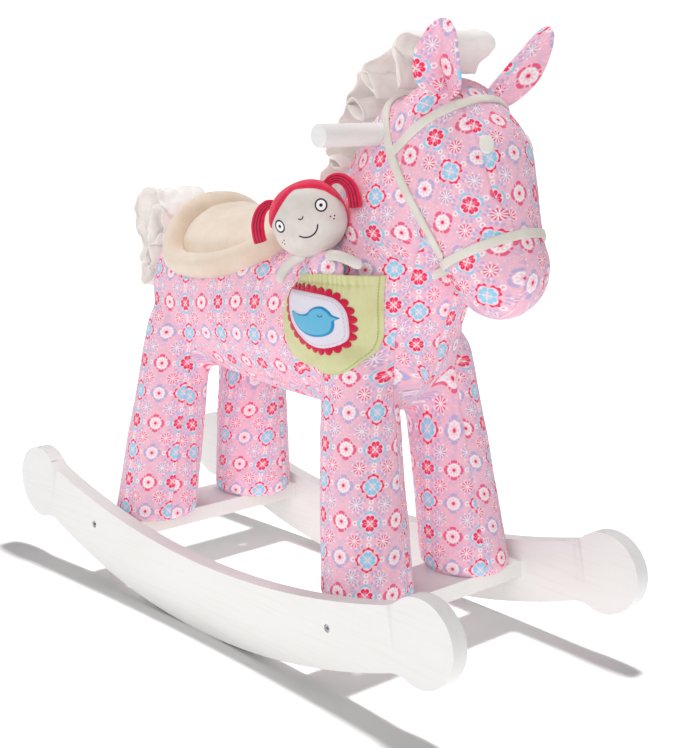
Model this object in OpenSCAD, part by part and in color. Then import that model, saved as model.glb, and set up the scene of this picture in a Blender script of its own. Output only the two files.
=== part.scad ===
// Padded rocking horse on two bow rockers, with a rag doll in its side pocket.
// +X is the horse's nose, -Y its right side, +Z up. The origin is on the floor under its middle.

/* [Rockers] */
// Length over both rounded ends
rocker_len = 740; // [720:5:760]
// Width over the outer faces of the two rockers
rocker_out_w = 288; // [280:2:300]
// Thickness of the rocker planks
rocker_t = 18; // [15:1:20]
// Radius of the bow that rolls on the floor
bow_r = 846; // [800:5:900]
// Radius of the upper edge of a rocker
upper_r = 1037; // [1000:5:1080]
// Height of a rocker at its middle
rocker_h = 76.3; // [72:0.1:80]
// Radius of the rounded ends
end_r = 43.2; // [42:0.2:45]

/* [Foot boards] */
// Distance of each foot board from the middle
board_x = 188; // [182:1:192]
// Width of a foot board along the horse
board_w = 64; // [60:1:68]
// Thickness of a foot board
board_t = 18; // [15:1:18]
// Height of the top of the foot boards
board_top = 76.5; // [74:0.5:78]

/* [Handle] */
// Diameter of the handle bar
handle_d = 22; // [20:1:25]
// Length of the handle bar
handle_len = 260; // [240:5:270]

/* [Legs] */
// Radius of a leg at the foot
foot_r = 48; // [45:1:50]
// Radius of a leg where it meets the body
thigh_r = 39; // [36:1:42]

/* [Fabric] */
// Thickness of the printed cover
cover_t = 1.5; // [1:0.5:2]
// Height of the saddle pad over the back
saddle_t = 22; // [16:1:24]
// Width of the bridle bands
band_w = 9; // [8:1:11]

/* [Hidden] */

round_fn = 96;
soft_fn = 24;
gap = 0.4;
far = 1000;
sides = [-1, 1];

// rockers: the bow, the upper edge, the end discs and the hollow fillets between them
inner_y = rocker_out_w / 2 - rocker_t;
end_c = [rocker_len / 2 - end_r, 92];
bow_c = [0, bow_r];
upper_c = [0, rocker_h + upper_r];
low_fillet_r = 30;
top_fillet_r = 40;
// the fillet arcs cross the edges at a small angle instead of only touching them
arc_cross = 0.05;

// where circles of radius ra about a and rb about b meet, on the side nearer the middle
function meet(a, ra, b, rb) =
    let (d = norm(b - a), u = (b - a) / d, k = (ra * ra - rb * rb + d * d) / (2 * d),
         h = sqrt(ra * ra - k * k))
    a + u * k - h * [-u.y, u.x];
// the point at distance r from a towards b
function toward(a, b, r) = a + (b - a) * r / norm(b - a);

low_c = meet(bow_c, bow_r + low_fillet_r, end_c, end_r + low_fillet_r);
top_c = meet(upper_c, upper_r - top_fillet_r, end_c, end_r + top_fillet_r);
low_bow = toward(bow_c, low_c, bow_r);
low_end = toward(end_c, low_c, end_r);
top_edge = toward(upper_c, top_c, upper_r);
top_end = toward(end_c, top_c, end_r);

// fasteners
bolt_x = 204.8;
dowel_x = 171;
bolt_z = board_top - board_t / 2 + 0.5;
bolt_r = 2.5;
bolt_head_r = 4;
bolt_head_h = 4;
bolt_len = 52;
sink = 1;
nut_r = 5;
nut_len = 12;
nut_y = inner_y - 26;
dowel_r = 4;
dowel_in = 24;
dowel_out = 12;
leg_bolt_r = 3;
leg_bolt_len = 46;
leg_bolt_head_r = 6;
leg_bolt_head_h = 4;

// legs: foot centre, and the point where the axis meets the rails
rail_z = 300;
front_foot = [187, 73];
rear_foot = [-179, 75];
front_hip = [151.5, 56.3];
rear_hip = [-154, 53];
plate_t = 9;
plate_r = 40;
post_r = 12;
post_z = board_top + plate_t;
rail_w = 34;
rail_t = 16;
rail_half = 66;
spine_w = 36;
spine_h = 28;
seat_t = 9;
seat_half_len = 95;
seat_half_w = 42;
seat_x = -52;
seat_z = rail_z + rail_t + spine_h;
neck_t = 18;
handle_x = 170;
handle_z = 534;
handle_r = handle_d / 2;
chamfer = 1.5;
// shallow ring grooves where the cover's edge is bound to the bar
groove_y = 61.25;
groove_w = 1.5;
groove_d = 0.3;
screw_r = 2;
// how far behind the bar's middle its locking screw starts
handle_screw_back = 7;
// screws that hold the rails to the spine, and the seat board to the spine
spine_screw_x = 146;
seat_screw_x = 70;
neck_screw_xs = [104, 126];
spine_half_len = 162;

// soft forms: centre and radii of each rounded lump
torso_lumps = [[[-143, 0, 346], [78, 82, 92]], [[0, 0, 338], [80, 86, 94]], [[120, 0, 337], [90, 86, 93]]];
neck_lumps = [[[135, 0, 370], [86, 80, 70]], [[155, 0, 440], [86, 66, 70]],
              [[184, 0, 510], [76, 56, 60]], [[205, 0, 546], [60, 56, 44]]];
brow_lumps = [[[216, 0, 538], [52, 60, 52]], [[250, 0, 508], [55, 56, 52]], [[268, 0, 455], [40, 44, 40]]];
nose_lumps = [[[268, 0, 455], [40, 44, 40]], [[284, 0, 412], [48, 47, 49]]];

// mane: width, and the centre and radius of each gathered loop, seen from the side
mane_w = 58;
mane_loops = [[[94, 462], 19], [[84, 497], 20], [[88, 532], 22], [[104, 566], 22],
              [[135, 592], 23], [[172, 606], 25], [[208, 612], 27], [[243, 604], 21]];
tail_lumps = [[[-236, 0, 412], [40, 42, 40]], [[-236, 0, 372], [36, 38, 38]]];
ear_lumps = [[[240, 47, 584], [20, 11, 8]], [[258, 58, 607], [23, 12, 14]], [[268, 67, 633], [6, 5, 6]]];
eye_r = 8;
eye_y = 20;

// planes in the X-Z plane that the bridle bands lie in: tilt about Y, and a point on them
cheek_at = [208, 0, 495];
cheek_tilt = -32.5;
brow_at = [229, 0, 545];
brow_tilt = -38.1;
nose_at = [300, 0, 440.8];
nose_tilt = -26.6;
band_t = 2;
band_float = 0.6;
// height at which the cheek straps end, on the noseband
strap_low = 424;

// saddle: an oval laid over the back
saddle_at = [-72, 0, 455];
saddle_tilt = -22;
saddle_size = [112, 150, 120];
dish_share = 0.72;
dish_depth = 10;

// pocket: outline in the X-Z plane, and how far it bows out of the shoulder
pocket_c = [133, 352];
pocket_r = 52;
pocket_half_w = 58;
pocket_top = 403;
pocket_low = 303;
pocket_wall = 2;
pocket_bow = [[133, -64, 366], [74, 52, 84]];
pocket_slope = 5;
elastic_h = 10;

// badge on the pocket front
badge_at = [141, 357];
badge_r = 36;
scallop_r = 5;
scallops = 22;
bird_r = 17;

// doll
doll_at = [121.4, -97.1, 446.9];
doll_turn = 33;
doll_roll = -28;
doll_size = [38, 27, 36];
doll_axis = [-0.451, 0, 0.892];
neck_at = [137.4, -97.1, 412.9];
hem_at = [160, -96, 367];
hem_r = 6.5;
// how far each side of the hem is from its middle
hem_half = 10;
arms = [[[127, -104, 411], [97, -117.5, 394]], [[150, -101, 411], [188, -96, 419]]];

// ---- wooden base ----

// fills the corner between a long edge and an end disc, out to a hollow arc
module end_fillet(centre, r, on_edge, on_end) {
    difference() {
        polygon([on_edge, centre, on_end, end_c, [on_edge.x - end_r / 2, end_c.y - 10]]);
        translate(centre) circle(r + arc_cross, $fn = round_fn);
    }
}

module rocker_outline() {
    difference() {
        intersection() {
            translate(bow_c) circle(bow_r, $fn = round_fn * 4);
            translate([-end_c.x + end_r / 4, 0]) square([2 * (end_c.x - end_r / 4), 140]);
        }
        translate(upper_c) circle(upper_r, $fn = round_fn * 4);
    }
    for (s = [0, 1]) mirror([s, 0]) {
        translate(end_c) circle(end_r, $fn = round_fn);
        end_fillet(low_c, low_fillet_r, low_bow, low_end);
        end_fillet(top_c, top_fillet_r, top_edge, top_end);
    }
}

// along +Y from y0 for len
module bar_y(r, y0, len) {
    translate([0, y0, 0]) rotate([-90, 0, 0]) cylinder(r = r, h = len, $fn = round_fn);
}

module rocker() {
    difference() {
        translate([0, inner_y + rocker_t, 0]) rotate([90, 0, 0])
            linear_extrude(rocker_t) rocker_outline();
        for (s = sides) {
            translate([s * bolt_x, 0, bolt_z]) {
                bar_y(bolt_r + 0.25, inner_y - 1, rocker_t + 2);
                bar_y(bolt_head_r + 0.3, inner_y + rocker_t - bolt_head_h - sink, far);
            }
            translate([s * dowel_x, 0, bolt_z]) bar_y(dowel_r, inner_y - 1, dowel_out + 1);
        }
    }
}

module rocker_left() { color("#ecebe9") rocker(); }
module rocker_right() { color("#ecebe9") mirror([0, 1, 0]) rocker(); }

module foot_board(s, foot) {
    color("#ecebe9") difference() {
        translate([s * board_x - board_w / 2, -inner_y, board_top - board_t])
            cube([board_w, 2 * inner_y, board_t]);
        for (side = [0, 1]) mirror([0, side, 0]) {
            translate([s * bolt_x, 0, bolt_z]) bar_y(bolt_r + 0.25, inner_y - 40, 41);
            translate([s * bolt_x, nut_y, bolt_z + nut_len / 2 + 0.1 - far]) cylinder(r = nut_r, h = far,
                $fn = round_fn);
            translate([s * dowel_x, 0, bolt_z]) bar_y(dowel_r, inner_y - dowel_in, dowel_in + 1);
            translate([foot.x, foot.y, board_top - board_t - 1]) {
                cylinder(r = leg_bolt_r + 0.3, h = board_t + 2, $fn = round_fn);
                cylinder(r = leg_bolt_head_r + 1, h = leg_bolt_head_h + 2, $fn = round_fn);
            }
        }
    }
}

module foot_board_front() { foot_board(1, front_foot); }
module foot_board_rear() { foot_board(-1, rear_foot); }

// one copy at each end of each foot board
module at_board_ends(x) {
    for (s = sides) for (side = [0, 1]) mirror([0, side, 0]) translate([s * x, 0, bolt_z]) children();
}

module rocker_bolts() {
    head_y = rocker_out_w / 2 - sink - bolt_head_h;
    color("#b9bcc0") at_board_ends(bolt_x) difference() {
        union() {
            bar_y(bolt_head_r, head_y, bolt_head_h);
            bar_y(bolt_r, head_y - bolt_len + bolt_head_h, bolt_len - bolt_head_h + 0.5);
        }
        translate([0, head_y + 1.5, 0]) rotate([-90, 0, 0]) cylinder(r = 2, h = 4, $fn = 6);
    }
}

module barrel_nuts() {
    color("#b9bcc0") at_board_ends(bolt_x) difference() {
        translate([0, nut_y, -nut_len / 2]) cylinder(r = nut_r - 0.05, h = nut_len, $fn = round_fn);
        bar_y(bolt_r + 0.02, nut_y - 10, 20);
    }
}

module board_dowels() {
    color("#d8b98a") at_board_ends(dowel_x)
        bar_y(dowel_r - 0.03, inner_y - dowel_in + 1, dowel_in + dowel_out - 2);
}

// one copy at each foot
module at_feet() {
    for (side = [0, 1]) mirror([0, side, 0]) {
        translate([front_foot.x, front_foot.y, 0]) children();
        translate([rear_foot.x, rear_foot.y, 0]) children();
    }
}

module leg_bolts() {
    head_z = board_top - board_t + 1;
    color("#b9bcc0") at_feet() difference() {
        union() {
            translate([0, 0, head_z]) cylinder(r = leg_bolt_head_r, h = leg_bolt_head_h, $fn = round_fn);
            translate([0, 0, head_z + leg_bolt_head_h - 0.5])
                cylinder(r = leg_bolt_r, h = leg_bolt_len, $fn = round_fn);
        }
        translate([0, 0, head_z - 1]) cylinder(r = 2.5, h = 3.5, $fn = 6);
    }
}

module foot_plates() {
    color("#d8b98a") at_feet() difference() {
        translate([0, 0, board_top]) cylinder(r = plate_r, h = plate_t, $fn = round_fn);
        translate([0, 0, board_top - 1]) cylinder(r = leg_bolt_r + 0.3, h = plate_t + 2, $fn = round_fn);
    }
}

// ---- inner wooden frame ----

// a round post along a leg's axis, between two level cuts
module post(foot, hip, r, z0, z1) {
    rise = rail_z - board_top;
    run = hip - foot;
    lean = atan(norm(run) / rise);
    intersection() {
        translate([foot.x, foot.y, board_top]) rotate([0, -lean, atan2(-run.y, -run.x)])
            translate([0, 0, -30]) cylinder(r = r, h = rise + 70, $fn = round_fn);
        translate([-far / 2, -far / 2, z0]) cube([far, far, z1 - z0]);
    }
}

module leg_post(foot, hip) {
    color("#d8b98a") difference() {
        post(foot, hip, post_r, post_z, rail_z);
        translate([foot.x, foot.y, post_z - 1]) cylinder(r = leg_bolt_r + 0.02, h = 31, $fn = round_fn);
        frame_screw_rows(screw_r, 1);
    }
}

module leg_post_front_left() { leg_post(front_foot, front_hip); }
module leg_post_front_right() { mirror([0, 1, 0]) leg_post(front_foot, front_hip); }
module leg_post_rear_left() { leg_post(rear_foot, rear_hip); }
module leg_post_rear_right() { mirror([0, 1, 0]) leg_post(rear_foot, rear_hip); }

// a screw hole or, with a smaller r, its screw
module frame_screw_at(x, y, z, r, len) { translate([x, y, z]) cylinder(r = r, h = len, $fn = round_fn); }

module frame_screw_rows(r, grow) {
    for (s = sides) {
        frame_screw_at(front_hip.x, s * front_hip.y, rail_z - 26 - grow, r, 26 + rail_t + 2 * grow);
        frame_screw_at(rear_hip.x, s * rear_hip.y, rail_z - 26 - grow, r, 26 + rail_t + 2 * grow);
        frame_screw_at(s * spine_screw_x, 0, rail_z - grow, r, rail_t + 20 + 2 * grow);
        frame_screw_at(seat_x + s * seat_screw_x, 0, seat_z - 18 - grow, r, 18 + seat_t + 2 * grow);
    }
}

module rail_box(x, c) {
    translate([x - rail_w / 2 - c, -rail_half - c, rail_z - c])
        cube([rail_w + 2 * c, 2 * (rail_half + c), rail_t + 2 * c]);
}

module spine_box(c) {
    translate([-spine_half_len - c, -spine_w / 2 - c, rail_z + rail_t - c])
        cube([2 * (spine_half_len + c), spine_w + 2 * c, spine_h + 2 * c]);
}

module seat_box(c) {
    translate([seat_x - seat_half_len - c, -seat_half_w - c, seat_z - c])
        cube([2 * (seat_half_len + c), 2 * (seat_half_w + c), seat_t + 2 * c]);
}

// the neck board, in its own plane: a foot on the spine, leaning up to the handle
module neck_board_outline(c) {
    polygon([[92 - c, seat_z - c], [150 + c, seat_z - c], [186 + c, 480], [196 + c, 520],
             [196 + c, 560 + c], [146 - c, 560 + c], [142 - c, 500]]);
}

module neck_box(c) {
    translate([0, neck_t / 2 + c, 0]) rotate([90, 0, 0])
        linear_extrude(neck_t + 2 * c) neck_board_outline(c);
}

module cross_rail_front() {
    color("#d8b98a") difference() { rail_box(front_hip.x, 0); frame_screw_rows(screw_r, 1); }
}
module cross_rail_rear() {
    color("#d8b98a") difference() { rail_box(rear_hip.x, 0); frame_screw_rows(screw_r, 1); }
}
module spine_rail() {
    color("#d8b98a") difference() {
        spine_box(0);
        frame_screw_rows(screw_r, 1);
        neck_screws(screw_r, 1);
    }
}
module seat_board() {
    color("#d8b98a") difference() { seat_box(0); frame_screw_rows(screw_r, 1); }
}

// two screws that come up through the spine into the neck board's foot
module neck_screws(r, grow) {
    for (x = neck_screw_xs) frame_screw_at(x, 0, rail_z + rail_t - grow, r, spine_h + 26 + 2 * grow);
}

module neck_board() {
    color("#d8b98a") difference() {
        neck_box(0);
        translate([handle_x, 0, handle_z]) bar_y(handle_r + 0.03, -neck_t, 2 * neck_t);
        translate([handle_x - handle_screw_back - 2, 0, handle_z]) rotate([0, 90, 0])
            cylinder(r = screw_r, h = 60, $fn = round_fn);
        neck_screws(screw_r, 1);
    }
}

module frame_screws() {
    color("#b9bcc0") {
        difference() {
            frame_screw_rows(screw_r - 0.03, 0);
            for (s = sides) translate([s * spine_screw_x, 0, rail_z - 1])
                cylinder(r = 1, h = 2, $fn = 6);
        }
        neck_screws(screw_r - 0.03, 0);
    }
}

module handle_profile() {
    difference() {
        polygon([[0, 0], [handle_r - chamfer, 0], [handle_r, chamfer],
                 [handle_r, handle_len - chamfer], [handle_r - chamfer, handle_len], [0, handle_len]]);
        for (y = sides)
            translate([handle_r - groove_d, handle_len / 2 + y * groove_y - groove_w / 2])
                square([1, groove_w]);
    }
}

module handle() {
    color("#ecebe9") difference() {
        translate([handle_x, -handle_len / 2, handle_z]) rotate([-90, 0, 0])
            rotate_extrude($fn = round_fn) handle_profile();
        translate([handle_x - handle_screw_back - 1, 0, handle_z]) rotate([0, 90, 0])
            cylinder(r = screw_r, h = 30, $fn = round_fn);
    }
}

module handle_screw() {
    color("#b9bcc0") translate([handle_x - handle_screw_back, 0, handle_z]) rotate([0, 90, 0])
        cylinder(r = screw_r - 0.03, h = 32, $fn = round_fn);
}

// all the space that the inner frame takes inside the padding
module frame_space(c) {
    rail_box(front_hip.x, c);
    rail_box(rear_hip.x, c);
    spine_box(c);
    seat_box(c);
    neck_box(c);
    translate([handle_x, 0, handle_z]) bar_y(handle_r + c, -far / 2, far);
    for (side = [0, 1]) mirror([0, side, 0]) {
        post(front_foot, front_hip, post_r + c, post_z - far / 4, rail_z + c);
        post(rear_foot, rear_hip, post_r + c, post_z - far / 4, rail_z + c);
    }
}

// ---- padded body ----

module lump(l, d) {
    translate(l[0]) scale(l[1] + [d, d, d]) sphere(1, $fn = soft_fn);
}
module torso_form(d) { hull() for (l = torso_lumps) lump(l, d); }
module neck_form(d) { hull() for (l = neck_lumps) lump(l, d); }
module head_form(d) {
    hull() for (l = brow_lumps) lump(l, d);
    hull() for (l = nose_lumps) lump(l, d);
}

// a slab of the given thickness in a band's plane
module slab(at, tilt, thick) {
    translate(at) rotate([0, tilt, 0]) cube([thick, far, far], center = true);
}
// everything behind the seam that the cheek straps cover
module behind_cheek(c) {
    translate(cheek_at) rotate([0, cheek_tilt, 0])
        translate([-far + c, -far / 2, -far / 2]) cube([far, far, far]);
}

module neck_mass(d, c) { intersection() { neck_form(d); behind_cheek(c); } }

module torso_padding() {
    color("#f3efe6") difference() { torso_form(-cover_t - gap); frame_space(gap); }
}
module neck_padding() {
    color("#f3efe6") difference() {
        neck_mass(-cover_t - gap, 0);
        torso_form(gap);
        frame_space(gap);
    }
}
module head_padding() {
    color("#f3efe6") difference() {
        head_form(-cover_t - gap);
        neck_mass(gap, gap);
        torso_form(gap);
        frame_space(gap);
    }
}
module torso_cover() {
    color("#f7b9cc") difference() { torso_form(0); torso_form(-cover_t); frame_space(gap); }
}
module neck_cover() {
    color("#f7b9cc") difference() {
        neck_mass(0, 0);
        neck_form(-cover_t);
        torso_form(gap);
        frame_space(gap);
    }
}
module head_cover() {
    color("#f7b9cc") difference() {
        head_form(0);
        head_form(-cover_t);
        neck_mass(gap, gap);
        torso_form(gap);
        frame_space(gap);
    }
}

// a leg: a cone on a level foot, leaning in to the hip and running up into the body
module leg_form(foot, hip, d, z0) {
    intersection() {
        hull() {
            translate([foot.x, foot.y, board_top]) cylinder(r = foot_r + d, h = 1, $fn = 48);
            translate([hip.x, hip.y, rail_z]) sphere(thigh_r + d, $fn = 32);
        }
        translate([-far / 2, -far / 2, z0]) cube([far, far, far]);
    }
}

// the pieces that a leg runs into
module leg_cut() {
    torso_form(gap);
    neck_form(gap);
}

module leg_padding(foot, hip) {
    color("#f3efe6") difference() {
        leg_form(foot, hip, -cover_t - gap, post_z + gap);
        leg_cut();
        post(foot, hip, post_r + gap, 0, rail_z + 1);
        rail_box(hip.x, gap);
    }
}
module leg_cover(foot, hip) {
    color("#f7b9cc") difference() {
        leg_form(foot, hip, 0, board_top);
        leg_form(foot, hip, -cover_t, board_top - 1);
        leg_cut();
    }
}

module leg_padding_front_left() { leg_padding(front_foot, front_hip); }
module leg_padding_front_right() { mirror([0, 1, 0]) leg_padding(front_foot, front_hip); }
module leg_padding_rear_left() { leg_padding(rear_foot, rear_hip); }
module leg_padding_rear_right() { mirror([0, 1, 0]) leg_padding(rear_foot, rear_hip); }
module leg_cover_front_left() { leg_cover(front_foot, front_hip); }
module leg_cover_front_right() { mirror([0, 1, 0]) leg_cover(front_foot, front_hip); }
module leg_cover_rear_left() { leg_cover(rear_foot, rear_hip); }
module leg_cover_rear_right() { mirror([0, 1, 0]) leg_cover(rear_foot, rear_hip); }

// a leaf-shaped ear, from a wide base to a point
module ear() {
    difference() {
        hull() for (l = ear_lumps) lump(l, 0);
        head_form(gap);
        neck_form(gap);
    }
}
module ear_left() { color("#f2a3bd") ear(); }
module ear_right() { color("#f2a3bd") mirror([0, 1, 0]) ear(); }

module eye_patches() {
    color("#e3e1da") for (s = sides) intersection() {
        difference() { head_form(1.2 + gap); head_form(gap); }
        translate([270, s * eye_y, 522]) rotate([0, 0, s * 38]) rotate([0, 72, 0])
            cylinder(r = eye_r, h = 60, $fn = 32);
    }
}

// the mane: a strip of gathered loops from the forelock over the poll and down the neck
module mane() {
    color("#e9e4dd") difference() {
        translate([0, mane_w / 2, 0]) rotate([90, 0, 0]) linear_extrude(mane_w) {
            for (m = mane_loops) translate(m[0]) circle(m[1], $fn = 40);
            polygon([for (m = mane_loops) m[0], [190, 560], [130, 500]]);
        }
        neck_form(gap);
        head_form(gap);
        for (s = [0, 1]) mirror([0, s, 0]) ear();
    }
}

// the tail: a bunch of gathered loops on the rump
module tail() {
    color("#e9e4dd") difference() {
        hull() for (l = tail_lumps) lump(l, 0);
        torso_form(gap);
    }
}

// ---- saddle ----

module saddle_oval(share) {
    hull() translate(saddle_at) rotate([0, saddle_tilt, 0]) scale(saddle_size * share) sphere(1, $fn = 48);
}
module saddle_mass(d, share) { intersection() { torso_form(d); saddle_oval(share); } }

module saddle_rim() {
    color("#e9dcc6") difference() {
        saddle_mass(saddle_t, 1);
        torso_form(gap);
        saddle_oval(dish_share);
    }
}
module saddle_seat() {
    color("#e9dcc6") difference() {
        saddle_mass(saddle_t - dish_depth, dish_share - 0.005);
        torso_form(gap);
    }
}

// ---- bridle ----

module band(at, tilt) {
    difference() {
        intersection() {
            union() { neck_form(band_float + band_t); head_form(band_float + band_t); }
            slab(at, tilt, band_w);
        }
        neck_form(band_float);
        head_form(band_float);
    }
}

// half a cheek band: on one side of the head, between the poll and the noseband
module cheek_strap() {
    difference() {
        band(cheek_at, cheek_tilt);
        translate([0, -far, 0]) cube([2 * far, 2 * far, 2 * far], center = true);
        cube([far, far, 2 * strap_low], center = true);
        translate([0, -1, 0]) cube([far, mane_w / 2 + 1 + gap, far]);
        translate([handle_x, 0, handle_z]) bar_y(handle_r + gap, 0, far);
    }
}
module cheek_strap_left() { color("#e3e1da") cheek_strap(); }
module cheek_strap_right() { color("#e3e1da") mirror([0, 1, 0]) cheek_strap(); }

// a band round the front of the head, ending at the cheek straps
module front_band(at, tilt) {
    color("#e3e1da") difference() {
        band(at, tilt);
        behind_cheek(band_w / 2 + gap);
    }
}
module browband() { front_band(brow_at, brow_tilt + 90); }
module noseband() { front_band(nose_at, nose_tilt + 90); }

// ---- pocket and badge ----

// rounded bag outline, cut level at the mouth
module pocket_outline(d) {
    intersection() {
        hull() {
            translate([pocket_c.x - 6, pocket_c.y + 30]) circle(pocket_half_w - 6 + d, $fn = 48);
            translate([pocket_c.x + 6, pocket_c.y + 30]) circle(pocket_half_w - 6 + d, $fn = 48);
            translate([pocket_c.x, pocket_low + pocket_r]) circle(pocket_r + d, $fn = 48);
        }
        translate(pocket_c) rotate(pocket_slope)
            translate([-100, -200]) square([200, 200 + pocket_top - pocket_c.y]);
    }
}

module pocket_prism(d) {
    translate([0, -40, 0]) rotate([90, 0, 0]) linear_extrude(100) pocket_outline(d);
}

module pocket_swell(d) { intersection() { pocket_prism(d); hull() lump(pocket_bow, d); } }

module body_cut() {
    torso_form(gap);
    neck_form(gap);
    for (side = [0, 1]) mirror([0, side, 0]) leg_form(front_foot, front_hip, gap, board_top);
}

// the part of the bag above the line where the elastic band starts
module mouth_zone(grow) {
    translate([pocket_c.x, 0, pocket_c.y]) rotate([0, -pocket_slope, 0])
        translate([-100, -200, pocket_top - pocket_c.y - elastic_h - grow]) cube([200, 200, 200]);
}

module pocket_wall_ring() {
    difference() {
        pocket_swell(0);
        pocket_cavity(-pocket_wall);
        body_cut();
    }
}
module pocket_cavity(d) {
    intersection() {
        hull() lump(pocket_bow, d);
        translate([0, -40, 0]) rotate([90, 0, 0]) linear_extrude(100) union() {
            pocket_outline(d);
            translate([0, 8]) pocket_outline(d);
            translate([0, 16]) pocket_outline(d);
        }
    }
}

module pocket_bag() {
    color("#d5dba0") difference() { pocket_wall_ring(); mouth_zone(0); }
}
module pocket_band() {
    color("#cdd48f") intersection() { pocket_wall_ring(); mouth_zone(-gap / 4); }
}

// a thin layer laid on the pocket front, between two heights over it
module on_pocket(low, high) {
    intersection() {
        difference() { hull() lump(pocket_bow, high); hull() lump(pocket_bow, low); }
        translate([badge_at.x, -70, badge_at.y]) rotate([90, 0, 0]) linear_extrude(80) children();
    }
}

module scalloped() {
    circle(badge_r - scallop_r, $fn = 48);
    for (i = [0 : scallops - 1]) rotate(i * 360 / scallops)
        translate([badge_r - scallop_r, 0]) circle(scallop_r, $fn = 16);
}
// a round patch with one pointed corner
module patch_outline(r) {
    circle(r, $fn = 48);
    intersection() {
        rotate(135) translate([0, -r]) square([r * 1.25, 2 * r]);
        translate([-r, 0]) square([r, r]);
    }
}
// a plain bird: a round breast, a round head, a beak and a tail point
module bird_outline() {
    difference() {
        circle(bird_r, $fn = 40);
        translate([-bird_r, 3]) square([bird_r, bird_r]);
    }
    translate([4, 8]) circle(9, $fn = 32);
    polygon([[11, 12], [19, 8], [12, 4]]);
    polygon([[-22, 4], [0, 3], [0, -8], [-14, -8]]);
}

module badge_felt() { color("#de1f4a") on_pocket(0.3, 1.3) scalloped(); }
module badge_patch() { color("#e9e6f0") on_pocket(1.5, 2.3) patch_outline(badge_r - 2 * scallop_r); }
module badge_bird() { color("#4fb6da") on_pocket(2.5, 3.3) bird_outline(); }

// ---- doll ----

// the doll's own frame: X to its side, Y behind its face, Z over its crown
module doll_frame() {
    translate(doll_at) rotate([0, 0, doll_turn]) rotate([0, doll_roll, 0]) children();
}
module doll_skull(d) {
    hull() scale(doll_size + [d, d, d]) sphere(1, $fn = 32);
}

module doll_head() {
    color("#e0ddd5") doll_frame() doll_skull(0);
}
// a cap over the crown and the back of the head
module doll_hair() {
    color("#ea1d4c") difference() {
        doll_frame() difference() {
            doll_skull(1.8);
            doll_skull(0.3);
            translate([-60, -60, -60]) cube([120, 60, 60 + 24]);
            translate([-60, -60, -80]) cube([120, 120, 60]);
        }
        neck_form(1.5);
    }
}
// two arched bunches, one on each side of the head
module doll_pigtails() {
    color("#c4183f") difference() {
        doll_frame() for (s = [0, 1]) mirror([s, 0, 0]) translate([41.2, 5, 6]) rotate([90, 0, 0])
            linear_extrude(7) {
                difference() {
                    translate([5, 6]) circle(11, $fn = 40);
                    translate([5, 6]) circle(3, $fn = 24);
                    translate([-20, -34]) square([60, 40]);
                }
                translate([8, -14]) square([8, 21]);
            }
        doll_frame() doll_skull(1.8 + gap);
        neck_form(1.5);
    }
}
module dress_form(d) {
    side = [doll_axis.z, 0, -doll_axis.x];
    hull() {
        translate(neck_at) sphere(8 + d, $fn = 24);
        for (s = [-1, 1]) translate(hem_at + side * s * hem_half) sphere(hem_r + d, $fn = 24);
    }
}
module doll_dress() {
    color("#f7b9cc") difference() {
        dress_form(0);
        doll_frame() doll_skull(gap);
    }
}
// a stuffed arm between two points
module arm(a, b) {
    difference() {
        hull() {
            translate(a) sphere(5, $fn = 20);
            translate(b) sphere(5.5, $fn = 20);
        }
        doll_frame() doll_skull(gap);
        dress_form(gap);
        pocket_swell(gap);
    }
}
module doll_arms() {
    color("#e0ddd5") for (a = arms) arm(a[0], a[1]);
}

rocker_right();
rocker_left();
foot_board_front();
foot_board_rear();
rocker_bolts();
barrel_nuts();
board_dowels();
leg_bolts();
foot_plates();
leg_post_front_right();
leg_post_front_left();
leg_post_rear_right();
leg_post_rear_left();
cross_rail_front();
cross_rail_rear();
spine_rail();
seat_board();
neck_board();
frame_screws();
handle();
handle_screw();
torso_padding();
neck_padding();
head_padding();
leg_padding_front_right();
leg_padding_front_left();
leg_padding_rear_right();
leg_padding_rear_left();
torso_cover();
neck_cover();
head_cover();
leg_cover_front_right();
leg_cover_front_left();
leg_cover_rear_right();
leg_cover_rear_left();
ear_right();
ear_left();
eye_patches();
mane();
tail();
saddle_rim();
saddle_seat();
cheek_strap_right();
cheek_strap_left();
browband();
noseband();
pocket_bag();
pocket_band();
badge_felt();
badge_patch();
badge_bird();
doll_head();
doll_hair();
doll_pigtails();
doll_dress();
doll_arms();
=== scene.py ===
"""A padded rocking horse on two bow rockers, with a rag doll in its side pocket."""

import random
from math import copysign, cos, exp, hypot, pi, radians, sin, sqrt

import bmesh
import bpy
import numpy as np
from mathutils import Matrix, Vector, noise
from mathutils.bvhtree import BVHTree


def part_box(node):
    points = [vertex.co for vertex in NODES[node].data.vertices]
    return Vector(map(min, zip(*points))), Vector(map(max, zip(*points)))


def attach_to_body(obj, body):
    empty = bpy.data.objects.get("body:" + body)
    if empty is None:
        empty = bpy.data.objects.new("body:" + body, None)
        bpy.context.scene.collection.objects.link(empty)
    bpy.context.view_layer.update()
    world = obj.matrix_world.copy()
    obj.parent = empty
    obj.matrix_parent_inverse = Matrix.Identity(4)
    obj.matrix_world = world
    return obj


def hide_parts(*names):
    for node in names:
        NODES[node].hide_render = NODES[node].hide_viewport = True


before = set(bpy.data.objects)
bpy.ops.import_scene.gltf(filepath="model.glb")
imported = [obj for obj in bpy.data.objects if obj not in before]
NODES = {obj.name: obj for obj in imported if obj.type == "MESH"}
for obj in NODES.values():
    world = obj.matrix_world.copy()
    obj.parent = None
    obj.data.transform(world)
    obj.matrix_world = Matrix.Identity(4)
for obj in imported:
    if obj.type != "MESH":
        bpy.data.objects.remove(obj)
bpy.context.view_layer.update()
MM = 0.001


# ---------------------------------------------------------------- small helpers

def mm(x, y, z):
    """A point given in millimetres."""
    return Vector((x, y, z)) * MM


def clamp(x, lo=0.0, hi=1.0):
    return max(lo, min(hi, x))


def ease(t):
    t = clamp(t)
    return t * t * (3 - 2 * t)


def mix(a, b, t):
    return a + (b - a) * t


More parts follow.
